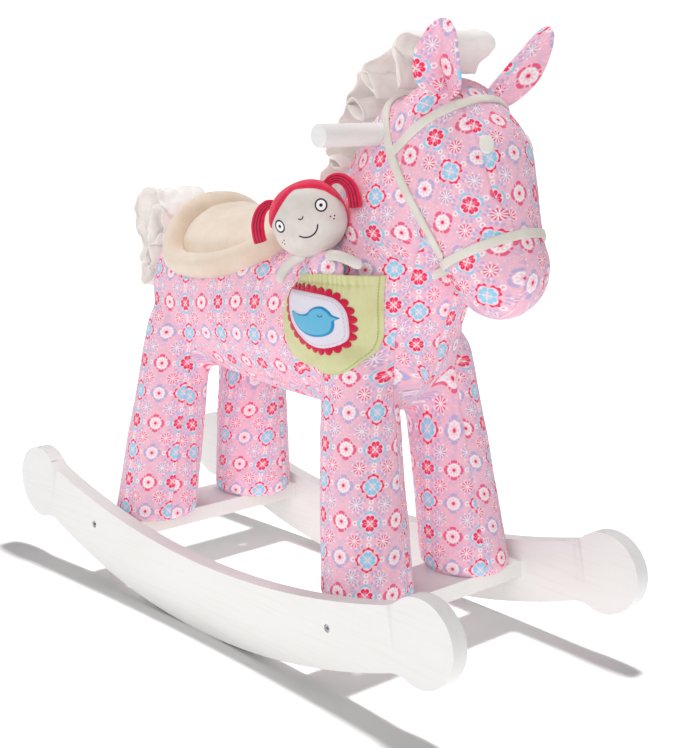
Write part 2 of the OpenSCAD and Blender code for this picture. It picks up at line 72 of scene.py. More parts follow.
def linear(code):
    """A screen colour such as "#ffeedd" as linear RGBA."""
    rgb = [int(code[i:i + 2], 16) / 255 for i in (1, 3, 5)]
    return [c / 12.92 if c <= 0.04045 else ((c + 0.055) / 1.055) ** 2.4 for c in rgb] + [1.0]


def centre(node):
    lo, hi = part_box(node)
    return (lo + hi) / 2


# ---------------------------------------------------------------- node materials

class Value:
    """A socket of a node tree that sums, products and comparisons can be written with."""

    def __init__(self, graph, socket):
        self.graph, self.socket = graph, socket

    def _op(self, kind, *others):
        return self.graph.math(kind, self, *others)

    def __add__(self, o): return self._op("ADD", o)
    def __radd__(self, o): return self._op("ADD", o)
    def __sub__(self, o): return self._op("SUBTRACT", o)
    def __rsub__(self, o): return self.graph.math("SUBTRACT", o, self)
    def __mul__(self, o): return self._op("MULTIPLY", o)
    def __rmul__(self, o): return self._op("MULTIPLY", o)
    def __abs__(self): return self._op("ABSOLUTE")
    def cos(self): return self._op("COSINE")
    def sin(self): return self._op("SINE")
    def low(self, o): return self._op("MINIMUM", o)
    def high(self, o): return self._op("MAXIMUM", o)
    def wrap(self, half): return self._op("WRAP", half, -half)

    def below(self, edge, soft):
        """1 where this is under edge, 0 over it, with a soft edge."""
        return self.graph.map_range(self, edge - soft, edge + soft, 1.0, 0.0)

    def above(self, edge, soft):
        return self.graph.map_range(self, edge - soft, edge + soft, 0.0, 1.0)


class Graph:
    """A material and its node tree."""

    def __init__(self, name, roughness=0.8, sheen=0.0, specular=0.3):
        self.material = bpy.data.materials.new(name)
        self.material.use_nodes = True
        self.tree = self.material.node_tree
        self.shader = self.tree.nodes["Principled BSDF"]
        self.set({"Roughness": roughness, "Specular IOR Level": specular, "Sheen Weight": sheen,
                  "Sheen Roughness": 0.5})

    def set(self, constants):
        """Sets sockets of the shader itself."""
        for key, value in constants.items():
            self.shader.inputs[key].default_value = value

    def put(self, socket, value):
        if isinstance(value, Value):
            self.tree.links.new(value.socket, socket)
        else:
            socket.default_value = value

    def math(self, kind, *values):
        n = self.tree.nodes.new("ShaderNodeMath")
        n.operation = kind
        for socket, value in zip(n.inputs, values):
            self.put(socket, value)
        return Value(self, n.outputs[0])

    def vector_math(self, kind, *values):
        n = self.tree.nodes.new("ShaderNodeVectorMath")
        n.operation = kind
        for socket, value in zip(n.inputs, values):
            self.put(socket, value)
        return Value(self, n.outputs["Value" if kind in ("LENGTH", "DOT_PRODUCT") else "Vector"])

    def length(self, *parts):
        return self.vector_math("LENGTH", self.join(*parts))

    def angle(self, y, x):
        return self.math("ARCTAN2", y, x)

    def map_range(self, x, a, b, c=0.0, d=1.0):
        n = self.tree.nodes.new("ShaderNodeMapRange")
        n.interpolation_type = "LINEAR"
        n.clamp = True
        for socket, value in zip(n.inputs, (x, a, b, c, d)):
            self.put(socket, value)
        return Value(self, n.outputs[0])

    def split(self, vector):
        n = self.tree.nodes.new("ShaderNodeSeparateXYZ")
        self.put(n.inputs[0], vector)
        return [Value(self, s) for s in n.outputs]

    def join(self, x, y, z=0.0):
        n = self.tree.nodes.new("ShaderNodeCombineXYZ")
        for socket, value in zip(n.inputs, (x, y, z)):
            self.put(socket, value)
        return Value(self, n.outputs[0])

    def attribute(self, name, kind="Vector"):
        n = self.tree.nodes.new("ShaderNodeAttribute")
        n.attribute_name = name
        return Value(self, n.outputs[kind])

    def place(self):
        """The point in the object's own coordinates, in millimetres."""
        n = self.tree.nodes.new("ShaderNodeTexCoord")
        v = self.tree.nodes.new("ShaderNodeVectorMath")
        v.operation = "SCALE"
        v.inputs["Scale"].default_value = 1000
        self.tree.links.new(n.outputs["Object"], v.inputs[0])
        return Value(self, v.outputs[0])

    def noise(self, where, scale, detail=3.0, rough=0.5):
        n = self.tree.nodes.new("ShaderNodeTexNoise")
        self.put(n.inputs["Vector"], where)
        n.inputs["Scale"].default_value = scale
        n.inputs["Detail"].default_value = detail
        n.inputs["Roughness"].default_value = rough
        return Value(self, n.outputs["Fac"])

    def blend(self, share, a, b):
        """Colour a where share is 0 and b where it is 1."""
        n = self.tree.nodes.new("ShaderNodeMix")
        n.data_type = "RGBA"
        self.put(n.inputs[0], share)
        for socket, value in zip((n.inputs[6], n.inputs[7]), (a, b)):
            self.put(socket, linear(value) if isinstance(value, str) else value)
        return Value(self, n.outputs[2])

    def bump(self, height, distance, strength=1.0, normal=None):
        n = self.tree.nodes.new("ShaderNodeBump")
        n.inputs["Distance"].default_value = distance
        n.inputs["Strength"].default_value = strength
        self.put(n.inputs["Height"], height)
        if normal is not None:
            self.put(n.inputs["Normal"], normal)
        return Value(self, n.outputs[0])

    def finish(self, colour, normal=None, roughness=None):
        self.put(self.shader.inputs["Base Color"], linear(colour) if isinstance(colour, str) else colour)
        if normal is not None:
            self.put(self.shader.inputs["Normal"], normal)
        if roughness is not None:
            self.put(self.shader.inputs["Roughness"], roughness)
        return self.material


# ---------------------------------------------------------------- the printed cotton

PRINT_COLUMN = 29.0     # from a flower to the rosette beside it, mm
PRINT_ROW = 35.0        # from a row of flowers to the next, mm
EDGE = 0.3              # softness of the printed edges, mm
SHRINK = 0.87           # the flowers are drawn this much larger than their formulas say

INK = {
    "ground": "#f7bfd1", "lace": "#fbe3ec", "pale": "#fbdfe9", "red": "#f53463", "rose": "#f2648b",
    "blue": "#92d3ef", "lilac": "#bfb2dc", "white": "#fdf3f6",
}


def thread_weave(u, v, pitch=0.55):
    """The over-and-under of plain woven threads, from 0 to 1."""
    a = (u * (2 * pi / pitch)).cos()
    b = (v * (2 * pi / pitch)).cos()
    return (a * b) * 0.5 + 0.5


def print_flower(g, colour, x, y, blue_row):
    """Four heart-shaped petals inside four scalloped crowns."""
    ax, ay = abs(x), abs(y)
    p, q = ax.high(ay), ax.low(ay)
    px = p - 4.2
    d = g.length(px, q)
    phi = g.angle(q, px)
    petal_ink = g.blend(blue_row, INK["red"], INK["blue"])
    crown_ink = g.blend(blue_row, INK["blue"], INK["red"])
    outer = (phi * 8.0).cos() * 0.55 + 6.25 - phi * 0.55
    crown = (d - outer).below(0.0, EDGE) * d.above(4.35, EDGE) * (p - q).above(1.5, EDGE)
    inside = d.below(4.1, EDGE)
    lobe = g.length(p - 4.7, q - 1.55).below(2.05, EDGE)
    stem = (q - p * 0.45).below(0.0, EDGE) * p.below(5.0, EDGE) * p.above(1.0, EDGE)
    notch = q.below(0.35, 0.2) * p.above(5.6, EDGE)
    vein = abs(q - p * 0.2).below(0.22, 0.15) * p.below(4.6, EDGE) * p.above(1.6, EDGE)
    colour = g.blend(inside, colour, INK["pale"])
    colour = g.blend(lobe.high(stem) * (1.0 - notch), colour, petal_ink)
    colour = g.blend(vein * 0.6, colour, INK["pale"])
    return g.blend(crown, colour, crown_ink)


def print_rosette(g, colour, x, y, blue_row):
    """A toothed ring round a white wheel with a red heart."""
    r = g.length(x, y)
    a = g.angle(y, x)
    ring_ink = g.blend(blue_row, INK["rose"], INK["lilac"])
    teeth = (a * 14.0).cos()
    wide = (a * 4.0).cos()
    outer = wide * 0.7 + 8.6
    ring = (r - outer).below(0.0, EDGE) * r.above(6.4, EDGE) * (teeth + wide * 0.6).above(-0.75, 0.25)
    wheel = (r - (a * 8.0).cos() * 0.35).below(5.9, EDGE)
    spokes = (a * 8.0).cos().above(0.0, 0.3) * r.above(2.9, EDGE) * r.below(4.6, EDGE)
    colour = g.blend(wheel, colour, INK["white"])
    colour = g.blend(spokes * 0.55, colour, "#f6b3c8")
    colour = g.blend(r.below(2.7, EDGE), colour, "#f8cbd9")
    colour = g.blend(r.below(1.45, EDGE), colour, INK["red"])
    return g.blend(ring, colour, ring_ink)


def print_halo(g, colour, x, y):
    """Lilac leaves on the slanting sides of a flower."""
    r = g.length(x, y)
    a = g.angle(y, x)
    slant = abs((a * 2.0).sin()).above(0.62, 0.12)
    leaves = (a * 22.0).cos().above(-0.25, 0.35)
    ring = r.above(10.9, 0.5) * (r - (a * 22.0).cos() * 0.8).below(13.4, 0.5)
    return g.blend(slant * leaves * ring * 0.85, colour, INK["lilac"])


def print_burst(g, colour, x, y, lilac_row):
    """A star of ten tapering strokes, in a ring of white dots."""
    r = g.length(x, y)
    a = g.angle(y, x)
    stroke = (abs(a.wrap(pi / 10)) * r - r * 0.16).below(-0.08, 0.14)
    between = abs((a + pi / 10).wrap(pi / 10)) * r
    dot_a = (a + pi / 8).wrap(pi / 8) * 7.3
    dots = g.length(dot_a, r - 7.3).below(0.85, 0.3)
    ink = g.blend(lilac_row, INK["rose"], "#c2aed0")
    colour = g.blend(r.below(5.6, 0.4) * 0.5, colour, INK["lace"])
    colour = g.blend(between.below(0.3, 0.2) * r.below(4.6, 0.4) * 0.8, colour, INK["white"])
    colour = g.blend(stroke * r.above(1.6, 0.3) * r.below(5.9, 0.3), colour, ink)
    return g.blend(dots * 0.8, colour, INK["white"])


def print_ringlet(g, colour, x, y):
    r = g.length(x, y)
    colour = g.blend(abs(r - 1.9).below(0.6, 0.25), colour, INK["white"])
    return g.blend(r.below(0.6, 0.3), colour, "#f59ab7")


def print_colour(g, u, v):
    """The repeating print at (u, v), in mm along and up the cloth."""
    x, y = u.wrap(PRINT_COLUMN), v.wrap(PRINT_ROW / 2)
    x2 = (u - PRINT_COLUMN).wrap(PRINT_COLUMN)
    fx, fy, rx = x * SHRINK, y * SHRINK, x2 * SHRINK
    bx, by = (u - PRINT_COLUMN / 2).wrap(PRINT_COLUMN / 2), (v - PRINT_ROW / 2).wrap(PRINT_ROW / 2)
    blue_row = abs(v.wrap(PRINT_ROW)).above(PRINT_ROW / 2, 0.01)
    lilac_row = v.wrap(PRINT_ROW).above(0.0, 0.01)
    specks = g.noise(g.join(u, v), 0.55, 2.0)
    colour = g.blend((specks - 0.5) * 3.0, INK["ground"], INK["lace"])
    colour = g.blend(g.noise(g.join(v, u), 0.12, 1.0).above(0.55, 0.06) * 0.25, colour, INK["lilac"])
    colour = print_halo(g, colour, fx, fy)
    colour = print_burst(g, colour, bx, by, lilac_row)
    colour = print_ringlet(g, colour, bx, y)
    colour = print_ringlet(g, colour, x, abs(by) - 3.1)
    colour = print_rosette(g, colour, rx, fy, blue_row)
    return print_flower(g, colour, fx, fy, blue_row)


def printed_cotton():
    """Printed cotton over stuffing: two panels' coordinates that meet at a seam, with puckers beside it and
    painted shade along it.
    """
    g = Graph("printed_cotton", roughness=0.88, sheen=0.12, specular=0.2)
    seam = g.attribute("seam", "Fac")
    side = seam.above(0.0, 0.02)
    first, second = g.attribute("panel_a"), g.attribute("panel_b")
    mixed = g.vector_math("ADD", g.vector_math("MULTIPLY", second, g.join(side, side, side)),
                          g.vector_math("MULTIPLY", first, g.join(1.0 - side, 1.0 - side, 1.0 - side)))
    u, v, _ = g.split(mixed)
    colour = print_colour(g, u, v)
    where = g.place()
    shade = g.noise(where, 0.02, 3.0)
    colour = g.blend((shade - 0.5) * 0.35, colour, "#e7a5bb")
    # painted shade: the cloth is coloured darker along each seam, where its groove lies in shade; near also
    # deepens the groove's bump
    near = abs(seam).below(0.8, 0.7)
    colour = g.blend(near * 0.16, colour, "#c9718f")
    pucker = g.noise(where, 0.16, 2.0) * abs(seam).below(5.0, 5.0)
    height = thread_weave(u, v) * 0.03 + g.noise(where, 0.9, 2.0) * 0.12 + pucker * 0.7 - near * 0.4
    return g.finish(colour, g.bump(height, 0.001))


# ---------------------------------------------------------------- meshes

def make_object(name, mesh, material=None, smooth=True):
    obj = bpy.data.objects.new(name, mesh)
    bpy.context.scene.collection.objects.link(obj)
    if material is not None:
        mesh.materials.append(material)
    if smooth:
        mesh.polygons.foreach_set("use_smooth", [True] * len(mesh.polygons))
    return obj


def from_points(name, verts, faces, material=None, smooth=True):
    mesh = bpy.data.meshes.new(name)
    mesh.from_pydata([tuple(v) for v in verts], [], faces)
    mesh.validate()
    mesh.update()
    return make_object(name, mesh, material, smooth)


def attach(obj, body, slot, *stands_for):
    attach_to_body(obj, body)
    if stands_for:
        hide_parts(*stands_for)
    return obj


def coords(obj):
    out = np.zeros(len(obj.data.vertices) * 3)
    obj.data.vertices.foreach_get("co", out)
    return out.reshape(-1, 3)


def set_coords(obj, points):
    obj.data.vertices.foreach_set("co", np.asarray(points, np.float32).ravel())
    obj.data.update()


def normals(obj):
    out = np.zeros(len(obj.data.vertices) * 3)
    obj.data.vertices.foreach_get("normal", out)
    return out.reshape(-1, 3)


def use_modifier(obj, kind, **settings):
    """Adds a modifier and applies it at once."""
    m = obj.modifiers.new(kind.lower(), kind)
    for key, value in settings.items():
        setattr(m, key, value)
    bpy.context.view_layer.update()
    done = bpy.data.meshes.new_from_object(obj.evaluated_get(bpy.context.evaluated_depsgraph_get()))
    obj.modifiers.clear()
    old, obj.data = obj.data, done
    bpy.data.meshes.remove(old)
    return obj


def hull_into(bm, points):
    """Adds the convex hull of the points to bm."""
    part = bmesh.new()
    for p in points:
        part.verts.new(p)
    done = bmesh.ops.convex_hull(part, input=part.verts)
    inner = set(done["geom_interior"] + done["geom_unused"])
    loose = [v for v in inner if isinstance(v, bmesh.types.BMVert)]
    bmesh.ops.delete(part, geom=loose, context="VERTS")
    mesh = bpy.data.meshes.new("part")
    part.to_mesh(mesh)
    part.free()
    bm.from_mesh(mesh)
    bpy.data.meshes.remove(mesh)


def join_all(name, pieces):
    """Makes one object of several, under a new name."""
    whole = bmesh.new()
    for piece in pieces:
        whole.from_mesh(piece.data)
    whole.to_mesh(pieces[0].data)
    whole.free()
    for piece in pieces[1:]:
        bpy.data.objects.remove(piece)
    pieces[0].name = name
    return pieces[0]


def node_points(name):
    return coords(NODES[name])


def smooth_points(obj, rounds, keep=None):
    """Evens the surface out; keep is a share per vertex that says how far it stays where it is."""
    mesh = obj.data
    edges = np.zeros(len(mesh.edges) * 2, int)
    mesh.edges.foreach_get("vertices", edges)
    a, b = edges.reshape(-1, 2).T
    p = coords(obj)
    count = np.bincount(np.concatenate([a, b]), minlength=len(p))[:, None]
    move = 0.5 if keep is None else 0.5 * (1 - keep)[:, None]
    for _ in range(rounds):
        total = np.zeros_like(p)
        for k in range(3):
            total[:, k] = np.bincount(a, p[b, k], len(p)) + np.bincount(b, p[a, k], len(p))
        p += (total / np.maximum(count, 1) - p) * move
    set_coords(obj, p)


def tree_of(obj):
    bm = bmesh.new()
    bm.from_mesh(obj.data)
    tree = BVHTree.FromBMesh(bm)
    bm.free()
    return tree


def fractal(p, size, seed=0.0):
    """Smooth noise of about -1 to 1 at p, with lumps of that size in metres."""
    q = Vector(p) / size + Vector((seed * 17.1, seed * 5.3, seed * 9.7))
    return noise.noise(q) + 0.5 * noise.noise(q * 2.1)


# ---------------------------------------------------------------- camera, floor and light

def make_camera():
    """The picture's view: from the horse's front right, a little above its back."""
    eye = mm(1123.9, -975.6, 593.2)
    yaw, pitch, roll = (radians(a) for a in (47.464, 12.474, 0.632))
    forward = Vector((-sin(yaw) * cos(pitch), cos(yaw) * cos(pitch), -sin(pitch)))
    flat_right = forward.cross(Vector((0, 0, 1))).normalized()
    flat_up = flat_right.cross(forward)
    right = flat_right * cos(roll) + flat_up * sin(roll)
    up = right.cross(forward)
    data = bpy.data.cameras.new("camera")
    data.lens, data.sensor_width = 66.17, 36.0
    data.clip_start, data.clip_end = 0.05, 60
    cam = bpy.data.objects.new("camera", data)
    bpy.context.scene.collection.objects.link(cam)
    cam.matrix_world = Matrix((right, up, -forward)).transposed().to_4x4()
    cam.location = eye
    bpy.context.scene.camera = cam


def make_floor():
    g = Graph("floor", roughness=0.9, specular=0.1)
    shade = g.noise(g.place(), 0.004, 2.0)
    x, y, _ = g.split(g.place())
    far = g.map_range(g.length(x, y), 420.0, 1150.0)
    g.set({"Emission Color": (1, 1, 1, 1)})
    seen = Value(g, g.tree.nodes.new("ShaderNodeLightPath").outputs["Is Camera Ray"])
    g.put(g.shader.inputs["Emission Strength"], far * far * 0.9 * (seen * 0.8 + 0.2))
    g.finish(g.blend(shade * 0.06, "#fbfbfb", "#f6f6f6"))
    half = 14.0
    floor = from_points("floor", [(-half, -half, 0), (half, -half, 0), (half, half, 0), (-half, half, 0)],
                        [(0, 1, 2, 3)], g.material, smooth=False)
    return floor


def make_world():
    """White to the camera, and a softer even light on the object."""
    world = bpy.data.worlds.new("studio")
    bpy.context.scene.world = world
    world.use_nodes = True
    t = world.node_tree
    light = t.nodes["Background"]
    light.inputs["Color"].default_value = (1, 1, 1, 1)
    light.inputs["Strength"].default_value = 0.34
    seen = t.nodes.new("ShaderNodeBackground")
    seen.inputs["Color"].default_value = (1, 1, 1, 1)
    seen.inputs["Strength"].default_value = 1.05
    path = t.nodes.new("ShaderNodeLightPath")
    both = t.nodes.new("ShaderNodeMixShader")
    t.links.new(path.outputs["Is Camera Ray"], both.inputs[0])
    t.links.new(light.outputs[0], both.inputs[1])
    t.links.new(seen.outputs[0], both.inputs[2])
    t.links.new(both.outputs[0], t.nodes["World Output"].inputs["Surface"])


def area_light(name, place, target, size, power):
    data = bpy.data.lights.new(name, "AREA")
    data.shape, data.size, data.energy = "DISK", size, power
    lamp = bpy.data.objects.new(name, data)
    bpy.context.scene.collection.objects.link(lamp)
    lamp.location = place
    lamp.rotation_mode = "QUATERNION"
    lamp.rotation_quaternion = (Vector(target) - Vector(place)).to_track_quat("-Z", "Y")
    return lamp


def link_light(lamp, floor, state):
    """Lets a lamp light nothing but the floor (INCLUDE), or everything but it (EXCLUDE)."""
    group = bpy.data.collections.new(lamp.name + "_lights")
    group.objects.link(floor)
    group.collection_objects[0].light_linking.link_state = state
    lamp.light_linking.receiver_collection = group


def shade_with(lamp, names):
    """Lets only these CAD nodes throw the lamp's shadows."""
    group = bpy.data.collections.new(lamp.name + "_shadows")
    for n in names:
        group.objects.link(NODES[n])
    lamp.light_linking.blocker_collection = group


def make_lights(floor):
    """A lamp above the far side makes the base's shadows on the floor; softer ones light the horse."""
    middle = (0.0, 0.0, 0.3)
    key = area_light("floor_key", (0.05, 0.5, 2.5), (0, 0, 0), 0.34, 68)
    link_light(key, floor, "INCLUDE")
    shade_with(key, ("rocker_right", "rocker_left", "foot_board_front", "foot_board_rear"))
    for name, place, target, size, power in (("overhead", (-0.25, 0.35, 2.6), (0, 0, 0), 0.8, 24),
                                             ("front_fill", (1.6, -2.3, 1.5), middle, 1.8, 29),
                                             ("left_fill", (-2.2, -1.7, 1.6), middle, 1.6, 16)):
        link_light(area_light(name, place, target, size, power), floor, "EXCLUDE")
    bpy.context.scene.view_settings.view_transform = "Standard"


# ---------------------------------------------------------------- wood and metal

def painted_wood():
    """White satin paint over fine plywood, with soft blotches and its grain faintly showing."""
    g = Graph("white_wood", roughness=0.42, specular=0.4)
    where = g.place()
    x, y, z = g.split(where)
    grain = g.noise(g.join(x * 0.012, y * 0.3, z * 0.3), 1.0, 4.0, 0.6)
    brush = g.noise(g.join(x * 0.05, y * 1.2, z * 1.2), 1.0, 2.0)
    blotch = g.noise(where, 0.012, 2.0)
    colour = g.blend(blotch * 0.5, "#efeeec", "#e8e6e3")
    colour = g.blend(grain.above(0.6, 0.1) * 0.35, colour, "#e3dfda")
    rough = g.map_range(blotch, 0.3, 0.7, 0.36, 0.5)
    return g.finish(colour, g.bump(grain * 0.10 + brush * 0.05, 0.001), rough)


def bare_wood():
    g = Graph("bare_wood", roughness=0.6)
    where = g.place()
    x, y, z = g.split(where)
    rings = g.noise(g.join(x * 0.01, y * 0.22, z * 0.22), 1.0, 4.0, 0.6)
    colour = g.blend((rings - 0.4) * 2.5, "#e0c297", "#c79f6c")
    return g.finish(colour, g.bump(rings, 0.0004))


def zinc_steel():
    g = Graph("steel", roughness=0.35, specular=0.5)
    g.set({"Metallic": 1.0})
    where = g.place()
    flake = g.noise(where, 1.2, 3.0)
    rough = g.map_range(flake, 0.3, 0.7, 0.28, 0.45)
    return g.finish(g.blend(flake, "#c3c6ca", "#a3a7ad"), g.bump(flake, 0.0001), rough)


def soften_edges(node, width, segments=3, angle=35):
    """Rounds a CAD node's edges with modifiers, which leave its mesh as it is."""
    obj = NODES[node]
    weld = obj.modifiers.new("weld", "WELD")
    weld.merge_threshold = 0.00002
    bevel = obj.modifiers.new("bevel", "BEVEL")
    bevel.width, bevel.segments = width, segments
    bevel.limit_method, bevel.angle_limit = "ANGLE", radians(angle)
    bevel.use_clamp_overlap = True
    even = obj.modifiers.new("even", "WEIGHTED_NORMAL")
    even.keep_sharp = False
    obj.data.polygons.foreach_set("use_smooth", [True] * len(obj.data.polygons))


def paint_node(node, material):
    obj = NODES[node]
    obj.data.materials.clear()
    obj.data.materials.append(material)


def dress_wood():
    white, bare, steel = painted_wood(), bare_wood(), zinc_steel()
    for n in ("rocker_right", "rocker_left", "foot_board_front", "foot_board_rear", "handle"):
        paint_node(n, white)
    for n in ("rocker_right", "rocker_left"):
        soften_edges(n, 0.0026)
    for n in ("foot_board_front", "foot_board_rear"):
        soften_edges(n, 0.0012, 2)
    soften_edges("handle", 0.0008, 3, 28)
    for n in ("board_dowels", "foot_plates", "leg_post_front_right", "leg_post_front_left",
              "leg_post_rear_right", "leg_post_rear_left", "cross_rail_front", "cross_rail_rear",
              "spine_rail", "seat_board", "neck_board"):
        paint_node(n, bare)
    for n in ("rocker_bolts", "barrel_nuts", "leg_bolts", "frame_screws", "handle_screw"):
        paint_node(n, steel)


# ---------------------------------------------------------------- the padded body

VOXEL = 0.0045
LEGS = {"front_right": (1, -1), "front_left": (1, 1), "rear_right": (-1, -1), "rear_left": (-1, 1)}
POST_RADIUS = 0.0115    # of a leg's wooden post, m
BOARD_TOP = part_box("foot_board_front")[1].z
CHEEK_NORMAL = Vector((0.843, 0, 0.537))
NOSE_NORMAL = Vector((-0.447, 0, 0.894))


def post_end(leg, foot):
    """The middle of a leg post's foot, or of its inner, upper end."""
    lo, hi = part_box("leg_post_" + leg)
    s, side = LEGS[leg]
    near, far = sorted((abs(lo.y), abs(hi.y)))
    x = hi.x - POST_RADIUS if (s > 0) == foot else lo.x + POST_RADIUS
    return Vector((x, side * (far - POST_RADIUS if foot else near + POST_RADIUS), 0))


def leg_axis(leg, z):
    """The leg's axis at height z, as (x, y)."""
    lo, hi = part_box("leg_post_" + leg)
    a, b = post_end(leg, True), post_end(leg, False)
    t = (z - lo.z) / (hi.z - lo.z)
    return mix(a.x, b.x, t), mix(a.y, b.y, t)


def cheek_side(points):
    """How far in front of the seam under the cheek straps each point is."""
    return points @ np.array(CHEEK_NORMAL) - CHEEK_SEAM


def slab_points(name, normal, low, high):
    """A CAD node's points between two parallel planes, with those where its faces cross them."""
    bm = bmesh.new()
    bm.from_mesh(NODES[name].data)
    for at, way in ((low, -1), (high, 1)):
        geom = bm.verts[:] + bm.edges[:] + bm.faces[:]
        bmesh.ops.bisect_plane(bm, geom=geom, plane_co=normal * at / normal.length_squared,
                               plane_no=normal * way, clear_outer=True)
    out = np.array([v.co[:] for v in bm.verts])
    bm.free()
    return out


def body_form():
    """Torso, neck, head and legs grown together, before the cloth is stretched over them."""
    bm = bmesh.new()
    hull_into(bm, node_points("torso_cover"))
    hull_into(bm, node_points("neck_cover"))
    hull_into(bm, slab_points("head_cover", NOSE_NORMAL, NOSE_CUT - 0.003, 9))
    hull_into(bm, slab_points("head_cover", NOSE_NORMAL, -9, NOSE_CUT + 0.003))
    joint = np.concatenate([slab_points(n, CHEEK_NORMAL, CHEEK_SEAM - 0.014, CHEEK_SEAM + 0.014)
                            for n in ("neck_cover", "head_cover")])
    hull_into(bm, joint.mean(0) + (joint - joint.mean(0)) * 0.985)
    for leg in LEGS:
        p = node_points("leg_cover_" + leg)
        foot = p[p[:, 2] < BOARD_TOP + 0.004]
        hull_into(bm, np.concatenate([p, foot - [0, 0, 0.014]]))
    mesh = bpy.data.meshes.new("body")
    bm.to_mesh(mesh)
    bm.free()
    body = make_object("body_cover", mesh)
    use_modifier(body, "REMESH", mode="VOXEL", voxel_size=VOXEL, use_smooth_shade=True)
    smooth_points(body, 9)
    return body


def swell(body, cap, keep, pressure=4.0, frames=20):
    """Blows the cloth up with Blender's cloth simulation, moving no point further than cap."""
    start = coords(body)
    pins = body.vertex_groups.new(name="pins")
    for i in np.nonzero(keep > 0)[0]:
        pins.add([int(i)], float(keep[i]), "REPLACE")
    cloth = body.modifiers.new("cloth", "CLOTH")
    s = cloth.settings
    s.quality, s.mass = 4, 0.3
    s.tension_stiffness = s.compression_stiffness = s.shear_stiffness = 12
    s.bending_stiffness = 0.5
    s.use_pressure, s.uniform_pressure_force = True, pressure
    s.vertex_group_mass = "pins"
    s.effector_weights.gravity = 0
    scene = bpy.context.scene
    scene.frame_start, scene.frame_end = 1, frames
    cloth.point_cache.frame_start, cloth.point_cache.frame_end = 1, frames
    for f in range(1, frames + 1):
        scene.frame_set(f)
    done = body.evaluated_get(bpy.context.evaluated_depsgraph_get())
    moved = np.zeros(len(done.data.vertices) * 3)
    done.data.vertices.foreach_get("co", moved)
    body.modifiers.clear()
    step = moved.reshape(-1, 3) - start
    far = np.linalg.norm(step, axis=1)[:, None]
    set_coords(body, start + step * np.minimum(1, cap / np.maximum(far, 1e-9)))
    scene.frame_set(1)


CHEEK_SEAM = float((node_points("neck_cover") @ np.array(CHEEK_NORMAL)).max())
NOSE_CUT = float(centre("noseband").dot(NOSE_NORMAL))


def arc(t, r):
    """Length along a curve of radius r that reaches t sideways."""
    return r * np.arcsin(np.clip(t / r, -0.985, 0.985))


def soft_step(x, a, b):
    t = np.clip((x - a) / (b - a), 0, 1)
    return t * t * (3 - 2 * t)


CHEST_SEAM = 57.0       # how far round from the side the chest seam lies, degrees
BELLY_SEAM = 52.0       # how far down from the side the belly seam lies, degrees
SHOULDER_U = 205.0      # a column of flowers runs down the shoulder here, mm ahead of the middle
LEG_U = 151.5           # where the front legs' axes meet the body, mm ahead of the middle
REAR_LEG_U = -154.0     # where the hind legs' axes do

# where the lattice of the print starts on each panel, in mm
PHASE = {"side": (SHOULDER_U, 23.5), "strip": (0.0, 51.0), "cheek": (0.0, 38.0), "face": (0.0, 44.5)}


def squeezed(u):
    """Along the side, where the columns of the print stand a little closer than flat cloth's."""
    return SHOULDER_U + (u - SHOULDER_U) * 0.94


def leg_panels(p, leg):
    """Along a leg's outer and inner halves, how far past its seam, and how near the leg a point is."""
    s, side = LEGS[leg]
    z = p[:, 2]
    ax, ay = leg_axis(leg, z / 1000)
    ax, ay = ax * 1000, ay * 1000
    dx, out = p[:, 0] - ax, side * (p[:, 1] - ay)
    theta = np.arctan2(dx, out)
    r = np.clip(np.hypot(dx, out), 25, 60)
    front, back = np.radians((108, -104) if s > 0 else (77, -96))
    past = np.maximum(theta - front, back - theta) * r
    top = LEG_U if s > 0 else REAR_LEG_U
    outer_u = (top if s > 0 else squeezed(top)) + 0.56 * (ax - top) + r * theta
    inner = np.where(theta > 0, theta - pi, theta + pi)
    inner_u = (11 + r * inner - 0.133 * (230 - z)) * -side
    near = soft_step(-np.hypot(dx, out), -75, -60)
    return outer_u, inner_u, past, near


